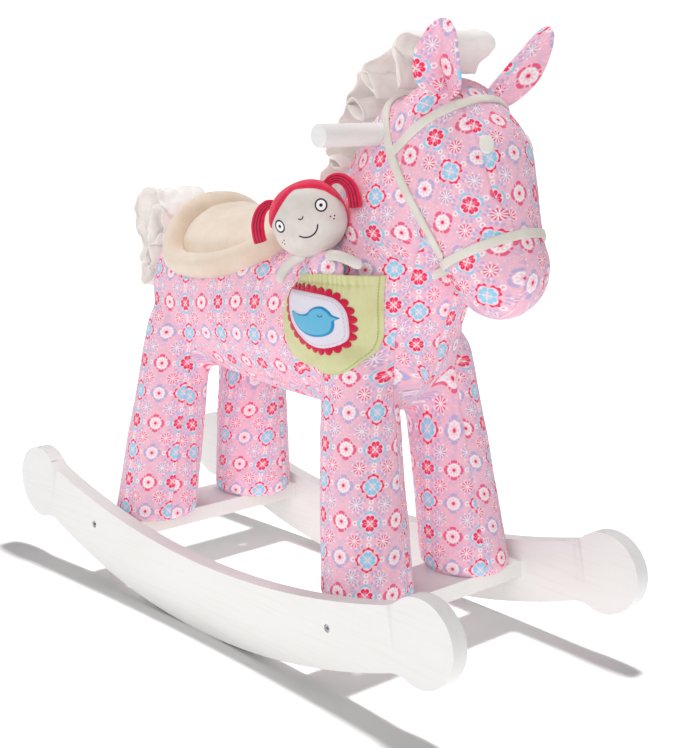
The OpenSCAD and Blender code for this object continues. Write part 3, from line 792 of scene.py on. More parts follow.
def body_panels(p):
    """Print coordinates of the side panels and of the strip between them, and the seams' distances."""
    x, y, z = p.T
    ay = np.abs(y)
    torso_z, torso_r, chest_x, rump_x = 338.0, 92.0, 120.0, -143.0
    up_neck = soft_step(x, 40, 110) * soft_step(z, 350, 420)
    axis_x = np.interp(z, (338, 440, 510, 546), (120, 155, 184, 205))
    u_front = np.where(x > axis_x, axis_x + arc(x - axis_x, 92), x)
    u_neck = axis_x + arc(x - axis_x, 90)
    u_side = mix(u_front, u_neck, up_neck)
    u_side = np.where(x < rump_x, rump_x + arc(x - rump_x, 84), u_side)
    v_torso = torso_z + arc(z - torso_z, torso_r)
    v_side = mix(v_torso, z, np.maximum(up_neck, soft_step(x, 90, 130) * (z > torso_z)))
    # the strip runs down the chest and back under the belly
    turn = np.arctan2(z - torso_z, x - chest_x)
    under = torso_z + torso_r * np.clip(turn, -pi / 2, 0)
    below = torso_z - torso_r * pi / 2 - (chest_x - x)
    v_strip = np.where(z > torso_z, z, np.where(x > chest_x, under, below))
    u_strip = np.where(y < 0, -arc(ay, 90) + 42.6 + 0.2 * (v_strip - 402.5), arc(ay, 90) - 5)
    v_strip = v_strip + np.where(y > 0, 45, 0)
    rise = np.interp(x, (-135, -111, -49, 12, 74, 203), (-38, -36.8, -26.5, -17.8, -13, 0))
    u_side = squeezed(u_side) + 24 * soft_step(z, 410, 445)
    v_side = v_side - rise
    round_front = np.degrees(np.arctan2(x - axis_x, ay))
    past_chest = np.where(x > axis_x, (round_front - CHEST_SEAM) * pi / 180 * 88, -60)
    down = np.degrees(np.arctan2(torso_z - z, ay))
    past_belly = np.where(z < torso_z, (down - BELLY_SEAM) * pi / 180 * 90, -60)
    past = np.maximum(past_chest, past_belly)
    low = soft_step(-z, -318, -276)
    for leg in LEGS:
        outer_u, inner_u, past_leg, near = leg_panels(p, leg)
        w = low * near
        u_side = mix(u_side, outer_u, w)
        v_side = mix(v_side, z - (rise if leg.startswith("rear") else 0), w)
        u_strip = mix(u_strip, inner_u, w)
        v_strip = mix(v_strip, z + (70 - 25 * soft_step(z, 200, 300) if leg.endswith("left") else 0), w)
        past = mix(past, past_leg, w)
    middle = np.where(z > 262, ay, 60)
    return u_side, v_side, u_strip, v_strip, past, np.minimum(np.abs(past), middle)


def head_panels(p):
    """Print coordinates of the cheeks and of the strip down the face."""
    x, y, z = p.T
    n, t = (0.843, 0.537), (-0.537, 0.843)
    along, rise = x * n[0] + z * n[1], x * t[0] + z * t[1]
    back = 1000 * CHEEK_SEAM
    u_cheek = (back + arc(along - back, 95) - 497) * 0.82
    u_face = (arc(np.abs(y), 60) * np.where(y < 0, -1, 1) + 33) * 1.12
    muzzle = (p @ np.array(NOSE_NORMAL) < 1000 * NOSE_CUT) * 1.0
    u_cheek, rise = u_cheek + 26 * muzzle, rise - 27 * muzzle
    past = np.interp(rise, (200, 225, 246, 278, 313, 359), (15, 18, 31, 36.5, 34, 22)) - np.abs(y)
    return u_cheek, rise, u_face, rise + 11, past, np.abs(past)


def panel_data(points):
    """The whole body's print coordinates in mm: two panels, which of them shows, and the nearest seam."""
    p = points * 1000
    trunk, head = body_panels(p), head_panels(p)
    front = cheek_side(points) > 0
    out = [np.where(front, h, t) for h, t in zip(head, trunk)]
    phases = zip(PHASE["cheek"] + PHASE["face"], PHASE["side"] + PHASE["strip"])
    starts = [np.where(front, h, t) for h, t in phases]
    return [o - start for o, start in zip(out, starts)] + out[4:]


def write_panels(obj, data):
    """Stores the print coordinates on the mesh, for its material to read."""
    zero = np.zeros(len(obj.data.vertices))
    for name, columns in (("panel_a", data[0:2]), ("panel_b", data[2:4])):
        store(obj, name, np.column_stack([*columns, zero]), "FLOAT_VECTOR")
    store(obj, "seam", data[4])


def settle_feet(p):
    """Presses the feet flat on the boards, and draws their lower edge in a little."""
    floor = BOARD_TOP + 0.0006
    low = p[:, 2] < floor
    for leg in LEGS:
        ax, ay = leg_axis(leg, BOARD_TOP)
        near = np.hypot(p[:, 0] - ax, p[:, 1] - ay) < 0.062
        pull = np.where(near, 0.05 * (1 - soft_step(p[:, 2], BOARD_TOP, BOARD_TOP + 0.008)), 0)
        p[:, 0] += (ax - p[:, 0]) * pull
        p[:, 1] += (ay - p[:, 1]) * pull
    p[low, 2] = floor
    return p


def unevenness(p, n):
    """The slight lumps and hollows of hand stuffing."""
    lumps = [0.0009 * fractal(q, 0.055, 1) + 0.0004 * fractal(q, 0.02, 2) for q in p]
    return np.array(lumps)[:, None] * n


def make_body(cotton):
    body = body_form()
    p = coords(body)
    stitch = panel_data(p)[5]
    set_coords(body, p + normals(body) * -0.0012)
    hold = np.clip(1 - stitch / 9, 0, 1) * 0.9
    hold = np.maximum(hold, (p[:, 2] < BOARD_TOP + 0.006) * 1.0)
    swell(body, 0.0045, hold)
    smooth_points(body, 2)
    p = coords(body)
    p = p + unevenness(p, normals(body)) + normals(body) * 0.0008
    set_coords(body, settle_feet(p))
    use_modifier(body, "SUBSURF", levels=1, render_levels=1)
    p = coords(body)
    data = panel_data(p)
    groove = -0.0007 * np.exp(-(data[5] / 2.2) ** 2) * (p[:, 2] > BOARD_TOP + 0.003)
    set_coords(body, settle_feet(p + normals(body) * groove[:, None]))
    write_panels(body, data)
    body.data.materials.clear()
    body.data.materials.append(cotton)
    body.data.polygons.foreach_set("use_smooth", [True] * len(body.data.polygons))
    return body


def finish_body(body):
    parts = ("torso", "neck", "head")
    whole = [k + end for k in parts for end in ("_cover", "_padding")]
    attach(body, "horse", "printed_cotton", *whole, *("leg_cover_" + k for k in LEGS),
           *("leg_padding_" + k for k in LEGS))


# ---------------------------------------------------------------- shapes laid on the body

def grid_faces(rows, cols, close_rows=False, close_cols=False):
    faces = []
    for i in range(rows if close_rows else rows - 1):
        for j in range(cols if close_cols else cols - 1):
            k, n = (i + 1) % rows, (j + 1) % cols
            faces.append((i * cols + j, i * cols + n, k * cols + n, k * cols + j))
    return faces


def face_outward(obj):
    bm = bmesh.new()
    bm.from_mesh(obj.data)
    bmesh.ops.recalc_face_normals(bm, faces=bm.faces)
    bm.to_mesh(obj.data)
    bm.free()
    return obj


def loft(name, rings, material):
    """A closed skin through rings of points, with domed ends where the end rings are small."""
    cols = len(rings[0])
    verts = [p for ring in rings for p in ring]
    faces = grid_faces(len(rings), cols, close_cols=True)
    for ring, first in ((rings[0], 0), (rings[-1], (len(rings) - 1) * cols)):
        verts.append(sum(ring, Vector()) / cols)
        faces += [(len(verts) - 1, first + (j + 1) % cols, first + j) for j in range(cols)]
    return face_outward(from_points(name, verts, faces, material))


def curve_through(points, count, closed=False):
    """Evenly spread points on a smooth curve through the given ones."""
    p = [Vector(q) for q in points]
    n = len(p)
    out = []
    spans = n if closed else n - 1
    for i in range(spans * 12 + (0 if closed else 1)):
        k, t = min(i // 12, spans - 1), i / 12 - min(i // 12, spans - 1)
        if closed:
            a, b, c, d = p[(k - 1) % n], p[k], p[(k + 1) % n], p[(k + 2) % n]
        else:
            a, b, c, d = p[max(k - 1, 0)], p[k], p[k + 1], p[min(k + 2, n - 1)]
        out.append(0.5 * (2 * b + (c - a) * t + (2 * a - 5 * b + 4 * c - d) * t ** 2
                          + (3 * b - a - 3 * c + d) * t ** 3))
    if closed:
        out.append(out[0])
    steps = [0.0]
    for a, b in zip(out, out[1:]):
        steps.append(steps[-1] + (b - a).length)
    at = np.linspace(0, steps[-1], count + 1 if closed else count)
    flat = np.array(out)
    result = np.column_stack([np.interp(at, steps, flat[:, k]) for k in range(flat.shape[1])])
    return [Vector(q) for q in (result[:-1] if closed else result)]


def sweep_rings(path, ups, half_w, half_t, square=0.7, count=16):
    """Rings of a rounded strap along a path; half_w and half_t may be functions of the share along it."""
    n = len(path)
    rings = []
    for i in range(n):
        a, b = path[max(i - 1, 0)], path[min(i + 1, n - 1)]
        along = (b - a).normalized()
        side = along.cross(ups[i]).normalized()
        up = side.cross(along).normalized()
        s = i / (n - 1)
        w = half_w(s) if callable(half_w) else half_w
        h = half_t(s) if callable(half_t) else half_t
        ring = []
        for k in range(count):
            c, d = cos(2 * pi * k / count), sin(2 * pi * k / count)
            ring.append(path[i] + side * w * copysign(abs(c) ** square, c)
                        + up * h * copysign(abs(d) ** square, d))
        rings.append(ring)
    return rings


def round_ends(size, share=0.06):
    """A half width that closes in a quarter circle at both ends."""
    def at(s):
        t = min(s, 1 - s) / share
        return size * (sqrt(max(0.0, 1 - (1 - t) ** 2)) if t < 1 else 1.0) + size * 0.03
    return at


def cast(tree, start, direction):
    """Where a ray meets a surface, and the outward normal there."""
    where, normal, _, _ = tree.ray_cast(start, direction)
    return where, (normal if normal.dot(direction) > 0 else -normal) if where else None


def lay(tree, place, facing):
    """The nearest point of the surface straight behind a place, looking against facing."""
    where, normal, _, _ = tree.ray_cast(place + facing * 0.08, -facing)
    if where is None:
        where, normal, _, _ = tree.find_nearest(place)
    return where, normal if normal.dot(facing) > 0 else -normal


def store(obj, name, values, kind="FLOAT"):
    a = obj.data.attributes.new(name, kind, "POINT")
    a.data.foreach_set("value" if kind == "FLOAT" else "vector", np.asarray(values, np.float32).ravel())


def two_layers(rows, n):
    """Faces of two skins of closed rows, joined at the outer edge. The skins' middles are the last points."""
    top = grid_faces(rows, n, close_cols=True)
    faces = top + [tuple(i + rows * n for i in reversed(f)) for f in top]
    outer, lower = (rows - 1) * n, (2 * rows - 1) * n
    faces += [(outer + j, outer + (j + 1) % n, lower + (j + 1) % n, lower + j) for j in range(n)]
    for k, first in enumerate((0, rows * n)):
        faces += [(2 * rows * n + k, first + j, first + (j + 1) % n) for j in range(n)]
    return faces


SINK = 0.0004           # how far a patch's underside lies below the surface, m


def applique(name, tree, centre, facing, across, outline, height, material, lift=0.0, rows=9):
    """A thin patch with a rounded edge laid on a surface. outline is in mm, along across and upward."""
    facing = facing.normalized()
    across = (across - facing * across.dot(facing)).normalized()
    upward = facing.cross(across)
    if upward.z < 0:
        upward = -upward
    n = len(outline)
    verts, edge, local = [], [], []
    reach = [hypot(a, b) for a, b in outline]
    for under in (False, True):
        for s in ((k + 1) / rows for k in range(rows)):
            for (a, b), r in zip(outline, reach):
                where, normal = lay(tree, centre + (across * a + upward * b) * MM * s, facing)
                inside = (1 - s) * r
                top = height * sqrt(clamp(1 - (1 - clamp(inside / (height * 1000))) ** 2))
                verts.append(where + normal * (lift + (-SINK if under else top)))
                edge.append(inside)
                local.append((a * s, b * s, 0))
    where, normal = lay(tree, centre, facing)
    verts += [where + normal * (lift + height), where + normal * (lift - SINK)]
    edge += [min(reach)] * 2
    local += [(0, 0, 0)] * 2
    obj = face_outward(from_points(name, verts, two_layers(rows, n), material))
    store(obj, "edge", edge)
    store(obj, "local", local, "FLOAT_VECTOR")
    return obj


def thick_sheet(name, rows, thickness, material, offset=0.0):
    """A sheet of cloth of some thickness through rows of points."""
    obj = from_points(name, [p for row in rows for p in row], grid_faces(len(rows), len(rows[0])), material)
    return use_modifier(obj, "SOLIDIFY", thickness=thickness, offset=offset, use_even_offset=False)


def flat_size(rows):
    """The width and length of the flat cloth that a grid of points was bent from."""
    def length(line):
        return sum((b - a).length for a, b in zip(line, line[1:]))
    area = 0.0
    for a, b in zip(rows, rows[1:]):
        for j in range(len(a) - 1):
            corner = b[j + 1] - a[j]
            area += (b[j] - a[j]).cross(corner).length / 2 + corner.cross(a[j + 1] - a[j]).length / 2
    width = sum(length(r) for r in rows) / len(rows)
    return width, area / width


# ---------------------------------------------------------------- materials of the sewn pieces

def woven(name, light, dark, pitch=0.6, depth=0.03, rough=0.9, sheen=0.15, crease=0.0, through=0.0):
    """Plain woven cloth with soft tone changes; through is the share of light that scatters through it, and
    it also sets a faint painted glow in the light colour.
    """
    g = Graph(name, roughness=rough, sheen=sheen, specular=0.2)
    # through also drives a small emission in the cloth's light colour: a painted glow that lightens its
    # shaded folds, beside the real subsurface scattering
    g.set({"Subsurface Weight": through, "Subsurface Radius": (1.0, 0.95, 0.9), "Subsurface Scale": 0.006,
           "Emission Color": linear(light), "Emission Strength": through * 0.13})
    where = g.place()
    x, y, z = g.split(where)
    tone = g.noise(where, 0.05, 3.0)
    slub = g.noise(g.join(x * 0.25, y * 0.25, z * 2.2), 1.0, 2.0)
    colour = g.blend(tone.above(0.5, 0.25), light, dark)
    colour = g.blend(slub.above(0.62, 0.08) * 0.35, colour, dark)
    weave = thread_weave(x + y, z - y, pitch)
    height = weave * depth + g.noise(where, 0.6, 2.0) * 0.25 + g.noise(where, 0.1, 3.0) * crease
    return g.finish(colour, g.bump(height, 0.001))


def suede():
    """Brushed suede: a soft short nap, and a painted highlight that makes the top of the saddle's front part
    lighter.
    """
    g = Graph("suede", roughness=0.95, sheen=0.45, specular=0.12)
    where = g.place()
    x, _, z = g.split(where)
    brushed = g.noise(where, 0.028, 4.0, 0.6)
    grain = g.noise(where, 1.3, 4.0, 0.65)
    colour = g.blend(brushed.above(0.5, 0.16), "#f0e1d1", "#e4d1bd")
    colour = g.blend(grain.above(0.55, 0.12) * 0.3, colour, "#d8c3ad")
    # painted highlight: the suede is coloured lighter high on the saddle's front part
    colour = g.blend(x.above(-62.0, 0.8) * z.above(446.0, 2.0) * 0.55, colour, "#f5ebdf")
    return g.finish(colour, g.bump(grain * 0.22 + brushed * 0.6, 0.001))


def felt(name, light, dark):
    g = Graph(name, roughness=1.0, sheen=0.3, specular=0.08)
    where = g.place()
    fibres = g.noise(where, 1.6, 5.0, 0.7)
    colour = g.blend(fibres.above(0.5, 0.2), light, dark)
    return g.finish(colour, g.bump(fibres, 0.0007))


def satin_stitch():
    """Close parallel embroidery threads."""
    g = Graph("eye_thread", roughness=0.55, sheen=0.2, specular=0.35)
    x, y, _ = g.split(g.attribute("local"))
    threads = (x * (2 * pi / 0.55) + g.noise(g.join(x, y), 0.5, 1.0) * 1.5).cos()
    colour = g.blend(threads * 0.3 + 0.4, "#f6f4ec", "#e2ded2")
    return g.finish(colour, g.bump(threads, 0.00003))


def lime_cotton():
    g = Graph("lime_cotton", roughness=0.85, sheen=0.15, specular=0.2)
    along, edge, gather = g.split(g.attribute("sewn"))
    where = g.place()
    x, y, z = g.split(where)
    tone = g.noise(where, 0.04, 3.0)
    colour = g.blend(tone.above(0.5, 0.2), "#dcdcac", "#d2d09c")
    # painted shade: the cloth is coloured darker olive in the valleys of the gathered mouth, read from the
    # gather depth
    colour = g.blend((gather * -1.0).above(0.6, 0.9) * 0.45, colour, "#a9ad66")
    line = abs(edge - 2.6).below(0.35, 0.15) * abs(along.wrap(1.6)).below(1.25, 0.15)
    colour = g.blend(line, colour, "#a9c266")
    weave = thread_weave(x, z, 0.6)
    height = weave * 0.03 + g.noise(g.join(x * 1.2, y * 1.2, z * 0.25), 0.25, 3.0) * 0.8 - line * 0.35
    return g.finish(colour, g.bump(height, 0.001))


def badge_white():
    """White felt with a line of pink running stitch inside its edge."""
    g = Graph("white_felt", roughness=0.95, sheen=0.25, specular=0.1)
    edge = g.attribute("edge", "Fac")
    x, y, _ = g.split(g.attribute("local"))
    fibres = g.noise(g.place(), 1.5, 4.0, 0.65)
    turn = g.angle(y, x)
    dash = (turn * 44.0).sin().above(-0.55, 0.2)
    line = abs(edge - 3.4).below(0.32, 0.15) * dash
    colour = g.blend(fibres.above(0.5, 0.2), "#ebe7f1", "#dcd8e5")
    colour = g.blend(line, colour, "#e9bcd2")
    return g.finish(colour, g.bump(fibres * 0.5 - line * 0.5, 0.0007))


def bird_satin():
    """Blue satin with a darker stitched edge, and a small closed eye."""
    g = Graph("blue_satin", roughness=0.5, sheen=0.2, specular=0.4)
    edge = g.attribute("edge", "Fac")
    x, y, _ = g.split(g.attribute("local"))
    threads = ((x + y) * (2 * pi / 0.7)).cos()
    colour = g.blend(threads * 0.12 + 0.3, "#69bde0", "#4ba9d1")
    colour = g.blend(edge.below(2.6, 0.25), colour, "#0a8cc4")
    ex, ey = x - 9.0, y - 9.2
    r = g.length(ex, ey)
    lid = abs(r - 2.3).below(0.45, 0.15) * ey.below(-0.4, 0.2)
    colour = g.blend(lid, colour, "#14384f")
    return g.finish(colour, g.bump(threads * 0.06 + edge.below(2.4, 0.3) * 0.5, 0.0004))


def doll_cloth():
    """Close knit with an embroidered face: two round eyes, a nose, a smile and freckles."""
    g = Graph("doll_skin", roughness=0.9, sheen=0.2, specular=0.15)
    x, y, z = g.split(g.attribute("local"))
    front = y.below(-4.0, 1.0)
    ink, white = "#3c1f38", "#fbfafa"
    tone = g.noise(g.join(x, y, z), 0.06, 3.0)
    colour = g.blend(tone.above(0.5, 0.2), "#e6dfda", "#d9d0c9")
    blush = g.length(abs(x) - 27.0, z + 9.0).below(4.0, 5.0)
    colour = g.blend(blush * front * 0.25, colour, "#eec3bd")
    ax = abs(x - 0.5)
    eye = g.length((ax - 23.0) * 1.18, z - 6.0)
    white_part = eye.below(6.2, 0.2)
    ring = abs(eye - 5.7).below(0.78, 0.15)
    pupil = eye.below(1.75, 0.2)
    colour = g.blend(white_part * front, colour, white)
    nose = abs(g.length(x - 1.5, z - 5.0) - 2.6).below(0.55, 0.15) * z.below(4.4, 0.3)
    lips = abs(g.length(x - 2.0, (z + 4.5) * 1.05) - 12.0).below(0.72, 0.15)
    lips = lips * (z + (x - 2.0) * -0.08).below(-9.6, 0.3)
    dots = 0.0
    for a, b in ((26.0, -7.6), (29.2, -8.6), (27.6, -11.0)):
        dots = g.length(ax - a, z - b).below(0.7, 0.15) + dots
    stitched = (ring + pupil + nose + lips + dots).low(1.0) * front
    colour = g.blend(stitched, colour, ink)
    knit = (x * (2 * pi / 0.9)).cos() * (z * (2 * pi / 0.9)).cos()
    height = knit * 0.05 + stitched * 0.35 + g.noise(g.join(x, y, z), 0.8, 2.0) * 0.15
    return g.finish(colour, g.bump(height, 0.001))


def hair_jersey(striped):
    """Red jersey; the bunches have dark stitched stripes along them."""
    g = Graph("doll_bunches" if striped else "doll_hair", roughness=0.9, sheen=0.3, specular=0.12)
    where = g.place()
    x, _, z = g.split(where)
    tone = g.noise(where, 0.12, 3.0)
    colour = g.blend(tone.above(0.5, 0.2), "#f02a55", "#d91c47")
    knit = (x * 7.0).cos() * (z * 7.0).cos()
    height = knit * 0.06 + g.noise(where, 0.9, 3.0) * 0.3
    if striped:
        across, _, _ = g.split(g.attribute("local"))
        stripe = abs(across.wrap(1.25)).below(0.42, 0.12) * abs(across).below(3.6, 0.1)
        colour = g.blend(stripe, colour, "#6b1b3f")
        height = height - stripe * 0.5
    return g.finish(colour, g.bump(height, 0.001))


# ---------------------------------------------------------------- saddle

SADDLE_ROLL = 26.0      # width of the roll round the saddle, mm
SADDLE_HIGH = 20.0      # how far the roll stands off the back, mm


def saddle_outline(turn):
    """A point of the saddle's edge: along the back in metres, and round the back in radians."""
    lo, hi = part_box("saddle_rim")
    rear, front = lo.x + 0.027, hi.x + 0.017
    peak, widest = 0.28, radians(74)
    c, s = cos(turn), sin(turn)
    if c < 0:
        t = peak - peak * abs(c) ** (2 / 3)
        f = abs(s) ** (2 / 3)
    else:
        t, f = peak + (1 - peak) * c, abs(s)
    return rear + (front - rear) * t, copysign(f * widest, s)


def saddle_lines(tree, count=112, steps=70):
    """For each direction, points from the saddle's edge to its middle: how far in, where, which way up."""
    spine = centre("torso_cover").z + 0.004
    mid_x = saddle_outline(pi / 2)[0] + 0.012
    lines = []
    for i in range(count):
        x, phi = saddle_outline(2 * pi * i / count)
        line, run, last = [], 0.0, None
        for k in range(steps + 1):
            s = 1 - k / steps
            px, pp = mix(mid_x, x, s), phi * s
            where, normal = cast(tree, Vector((px, 0, spine)), Vector((0, sin(pp), cos(pp))))
            run += 0 if last is None else (where - last).length * 1000
            line.append((run, where, normal))
            last = where
        lines.append(line)
    return lines


def on_line(line, e):
    """The place and normal at e mm along a line."""
    for (ra, a, na), (rb, b, nb) in zip(line, line[1:]):
        if rb >= e:
            t = (e - ra) / max(rb - ra, 1e-9)
            return a.lerp(b, clamp(t)), na.lerp(nb, clamp(t)).normalized()
    return line[-1][1], line[-1][2]


def under_line(line, stations):
    """Points of the saddle's underside, just inside the back."""
    return [where - normal * 0.0003 for where, normal in (on_line(line, e) for e in stations)]


def make_saddle(tree, material):
    lines = saddle_lines(tree)
    rolls, seats = [], []
    half = SADDLE_ROLL / 2
    stations = [half * (1 - cos(pi * k / 16)) for k in range(17)]
    for line in lines:
        roll, seat = [], []
        for e in stations:
            where, normal = on_line(line, e)
            high = SADDLE_HIGH * sqrt(clamp(1 - ((e - half) / half) ** 2)) ** 0.9
            high = max(high, 5.0 * clamp((e - half) / half)) + 0.7 * fractal(where, 0.03, 4)
            roll.append(where + normal * (max(high, 0.1) + 0.2) * MM)
        roll += under_line(line, reversed(stations))
        last = line[-1][0]
        inner = [SADDLE_ROLL - 1.0 + (last - SADDLE_ROLL) * k / 14 for k in range(14)]
        for e in inner:
            where, normal = on_line(line, e)
            high = 4.0 + 5.5 * ease((e - SADDLE_ROLL) / 16) + 0.6 * fractal(where, 0.035, 6)
            seat.append(where + normal * high * MM)
        rolls.append(roll)
        seats.append(list(reversed(seat)) + under_line(line, inner))
    rim = from_points("saddle_roll", [p for r in rolls for p in r],
                      grid_faces(len(rolls), len(rolls[0]), True, True), material)
    seat = from_points("saddle_dish", [p for r in seats for p in r],
                       grid_faces(len(seats), len(seats[0]), True, False), material)
    bm = bmesh.new()
    bm.from_mesh(seat.data)
    bmesh.ops.holes_fill(bm, edges=bm.edges, sides=0)
    bm.to_mesh(seat.data)
    bm.free()
    for obj, node in ((face_outward(rim), "saddle_rim"), (face_outward(seat), "saddle_seat")):
        use_modifier(obj, "SUBSURF", levels=1, render_levels=1)
        attach(obj, "horse", "suede", node)


# ---------------------------------------------------------------- bridle and eyes

BAND_HALF = 4.5         # half the width of the bridle tape, mm
BAND_THICK = 1.6        # half its thickness, mm


def band_path(tree, centre, tilt_normal, start, end, count=60):
    """Points on the head in one plane, from one direction to another; 0 is right, 90 is forward or up."""
    normal = tilt_normal.normalized()
    side = Vector((0, -1, 0))
    up = normal.cross(side)
    if up.z < -0.5 or up.x < -0.5 and abs(up.z) < 0.5:
        up = -up
    path, ups = [], []
    for i in range(count):
        a = radians(mix(start, end, i / (count - 1)))
        where, out = cast(tree, centre, side * cos(a) + up * sin(a))
        path.append(where)
        ups.append(out)
    for _ in range(3):
        path = [path[0]] + [(a + b * 2 + c) / 4 for a, b, c in zip(path, path[1:], path[2:])] + [path[-1]]
        ups = [ups[0]] + [(a + b + c).normalized() for a, b, c in zip(ups, ups[1:], ups[2:])] + [ups[-1]]
    return [p + u * (BAND_THICK * 0.8) * MM for p, u in zip(path, ups)], ups


def above_nose(path, ups):
    """The part of a path that is over the noseband's lower edge."""
    kept = [(p, u) for p, u in zip(path, ups) if p.dot(NOSE_NORMAL) > NOSE_CUT - 0.001]
    return [p for p, _ in kept], [u for _, u in kept]


def make_bridle(tree, material):
    brow = Vector((-sin(radians(38.1)), 0, cos(radians(38.1))))
    brow_at = centre("browband") + mm(-1, 0, -0.5)
    jaw = NOSE_NORMAL.cross(Vector((0, 1, 0))) * 0.022
    nose_in = centre("noseband") + Vector((-abs(jaw.x), 0, -abs(jaw.z)))
    cheek_in = mm(208, 0, 495)
    bands = (("cheek_tape_right", "cheek_strap_right", cheek_in, CHEEK_NORMAL, 84, -76),
             ("cheek_tape_left", "cheek_strap_left", cheek_in, CHEEK_NORMAL, 96, 256),
             ("brow_tape", "browband", brow_at, brow, -40, 220),
             ("nose_tape", "noseband", nose_in, NOSE_NORMAL, -100, 280))
    for name, node, at, normal, start, end in bands:
        path, ups = band_path(tree, at, normal, start, end, 90)
        if node.startswith("cheek"):
            path, ups = above_nose(path, ups)
        rings = sweep_rings(path, ups, round_ends(BAND_HALF * MM, 0.02), round_ends(BAND_THICK * MM, 0.02))
        obj = loft(name, rings, material)
        attach(obj, "horse", "bridle_tape", node)


def make_eyes(tree, material):
    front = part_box("eye_patches")[1].x - 0.005
    turns = np.linspace(0, 2 * pi, 48, endpoint=False)
    outline = [(6.9 * cos(a), 8.6 * sin(a)) for a in turns]
    eyes = []
    for side in (-1, 1):
        at = Vector((front, side * 0.031, centre("eye_patches").z))
        facing = Vector((0.75, side * 0.65, 0.1))
        across = Vector((-0.65 * side, 0.75, 0))
        eyes.append(applique("eye", tree, at, facing, across, outline, 0.0011, material))
    attach(join_all("eyes", eyes), "horse", "cream_fabric", "eye_patches")


# ---------------------------------------------------------------- ears

def print_on(obj, data):
    """Gives a piece without seams its own print coordinates."""
    store(obj, "panel_a", data, "FLOAT_VECTOR")
    store(obj, "panel_b", data, "FLOAT_VECTOR")
    store(obj, "seam", [-30.0] * len(data))


def make_ear(side, cotton):
    """A two-layer leaf of print, folded once at its foot."""
    node = "ear_right" if side < 0 else "ear_left"
    if side < 0:
        foot, tip = mm(236, -30, 571), mm(257, -57, 639)
    else:
        foot, tip = mm(241, 36, 566), mm(272, 70, 635)
    wide = Vector((0.95, -side * 0.29, -0.08)).normalized()
    out = wide.cross(tip - foot).normalized()
    if out.y * side < 0:
        out = -out
    rows, data = [], []
    n, m = 26, 31
    for i in range(n):
        t = i / (n - 1)
        half = (0.0252 if side < 0 else 0.030) * sin(pi * (0.26 + 0.74 * t) ** 0.88) ** 0.45
        spine = foot.lerp(tip, t) + (out * 0.004 - wide * 0.005) * sin(pi * t)
        row = []
        for j in range(m):
            v = 2 * j / (m - 1) - 1
            fold = exp(-((v + 0.12) / 0.16) ** 2) * (1 - t) ** 1.2
            cup = 0.55 * half * v * v * (1 - 0.35 * t)
            pinch = 1 - 0.8 * exp(-t / (0.10 if side < 0 else 0.22))
            p = spine + wide * half * v * pinch + out * (cup - 0.010 * fold - half * 0.2)
            row.append(p + out * 0.0006 * fractal(p, 0.02, 8))
            data.append((v * half * 1000 + (23 if side < 0 else 8), t * 62 + 46, 0))
        rows.append(row)
    obj = from_points(node.replace("ear_", "ear_print_"), [p for r in rows for p in r],
                      grid_faces(n, m), cotton)
    print_on(obj, data)
    use_modifier(obj, "SOLIDIFY", thickness=0.0034, offset=0.0)
    use_modifier(obj, "SUBSURF", levels=2, render_levels=2)
    attach(obj, "horse", "printed_cotton", node)


# ---------------------------------------------------------------- mane and tail

def crest(tree, angles):
    """Points along the top of the neck and head, with the way out at each."""
    hub = Vector((0.175, 0, 0.5))
    out = []
    for a in angles:
        d = Vector((cos(radians(a)), 0, sin(radians(a))))
        where, normal = cast(tree, hub, d)
        out.append((where, (normal + d).normalized()))
    return out


def gathered(name, line, widths, seed, crumple, material, samples=15):
    """A wide ribbon of cloth whose middle follows a line; widths gives half its width along it."""
    rows = []
    n = len(line)
    for i, p in enumerate(line):
        a, b = line[max(i - 1, 0)], line[min(i + 1, n - 1)]
        along = (b - a).normalized()
        out = along.cross(Vector((0, 1, 0))).normalized()
        row = []
        for j in range(samples):
            v = 2 * j / (samples - 1) - 1
            q = p + Vector((0, widths(i / (n - 1)) * v, 0))
            wave = fractal(q + Vector((0, 0, 0.01 * v)), 0.024, seed) * crumple
            fine = fractal(q, 0.010, seed + 3) * crumple * 0.34
            side = seed + 5 + (j > samples // 2)
            lip = fractal(Vector((i * 0.006, 0, 0)), 0.03, side) * 0.006 * abs(v) ** 3
            row.append(q + out * (wave * (0.45 + 0.75 * abs(v)) + fine) + Vector((0, lip * v, 0)))
        rows.append(row)
    obj = thick_sheet(name, rows, 0.0016, material)
    use_modifier(obj, "SUBSURF", levels=1, render_levels=1)
    return obj, flat_size(rows)


def mane_line(tree):
    """The ribbon's middle: loop after loop over the poll and down the neck."""
    angles = np.linspace(62, 197, 140)
    base = crest(tree, angles)
    run = [0.0]
    for (a, _), (b, _) in zip(base, base[1:]):
        run.append(run[-1] + (b - a).length)
    loops = 7
    pitch = run[-1] / loops
    line = []
    rnd = random.Random(4)
    for k in range(loops):
        share = k / (loops - 1)
        high = np.interp(share, (0, 0.15, 0.35, 0.6, 1), (0.042, 0.048, 0.042, 0.033, 0.027))
        high *= rnd.uniform(0.93, 1.07)
        lean = rnd.uniform(-0.25, 0.35) * pitch
        for i in range(26):
            t = i / 26
            s = (k + t) * pitch + 0.36 * pitch * sin(2 * pi * (t - 0.5))
            s += lean * sin(pi * t) ** 2
            h = high * sin(pi * t) ** 0.7 + 0.0025
            at = clamp(s, 0, run[-1])
            x = np.interp(at, run, range(len(base)))
            i0 = min(int(x), len(base) - 2)
            where = base[i0][0].lerp(base[i0 + 1][0], x - i0)
            out = base[i0][1].lerp(base[i0 + 1][1], x - i0)
            flat = Vector((-out.z, 0, out.x))
            line.append(where + out * h + flat * (s - at))
    return line


def make_mane(tree, material):
    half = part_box("mane")[1].y
    obj, flat = gathered("mane_ribbon", mane_line(tree), lambda s: half * (0.96 + 0.06 * sin(60 * s)), 3,
                         0.0055, material)
    attach(obj, "horse", "cream_fabric", "mane")


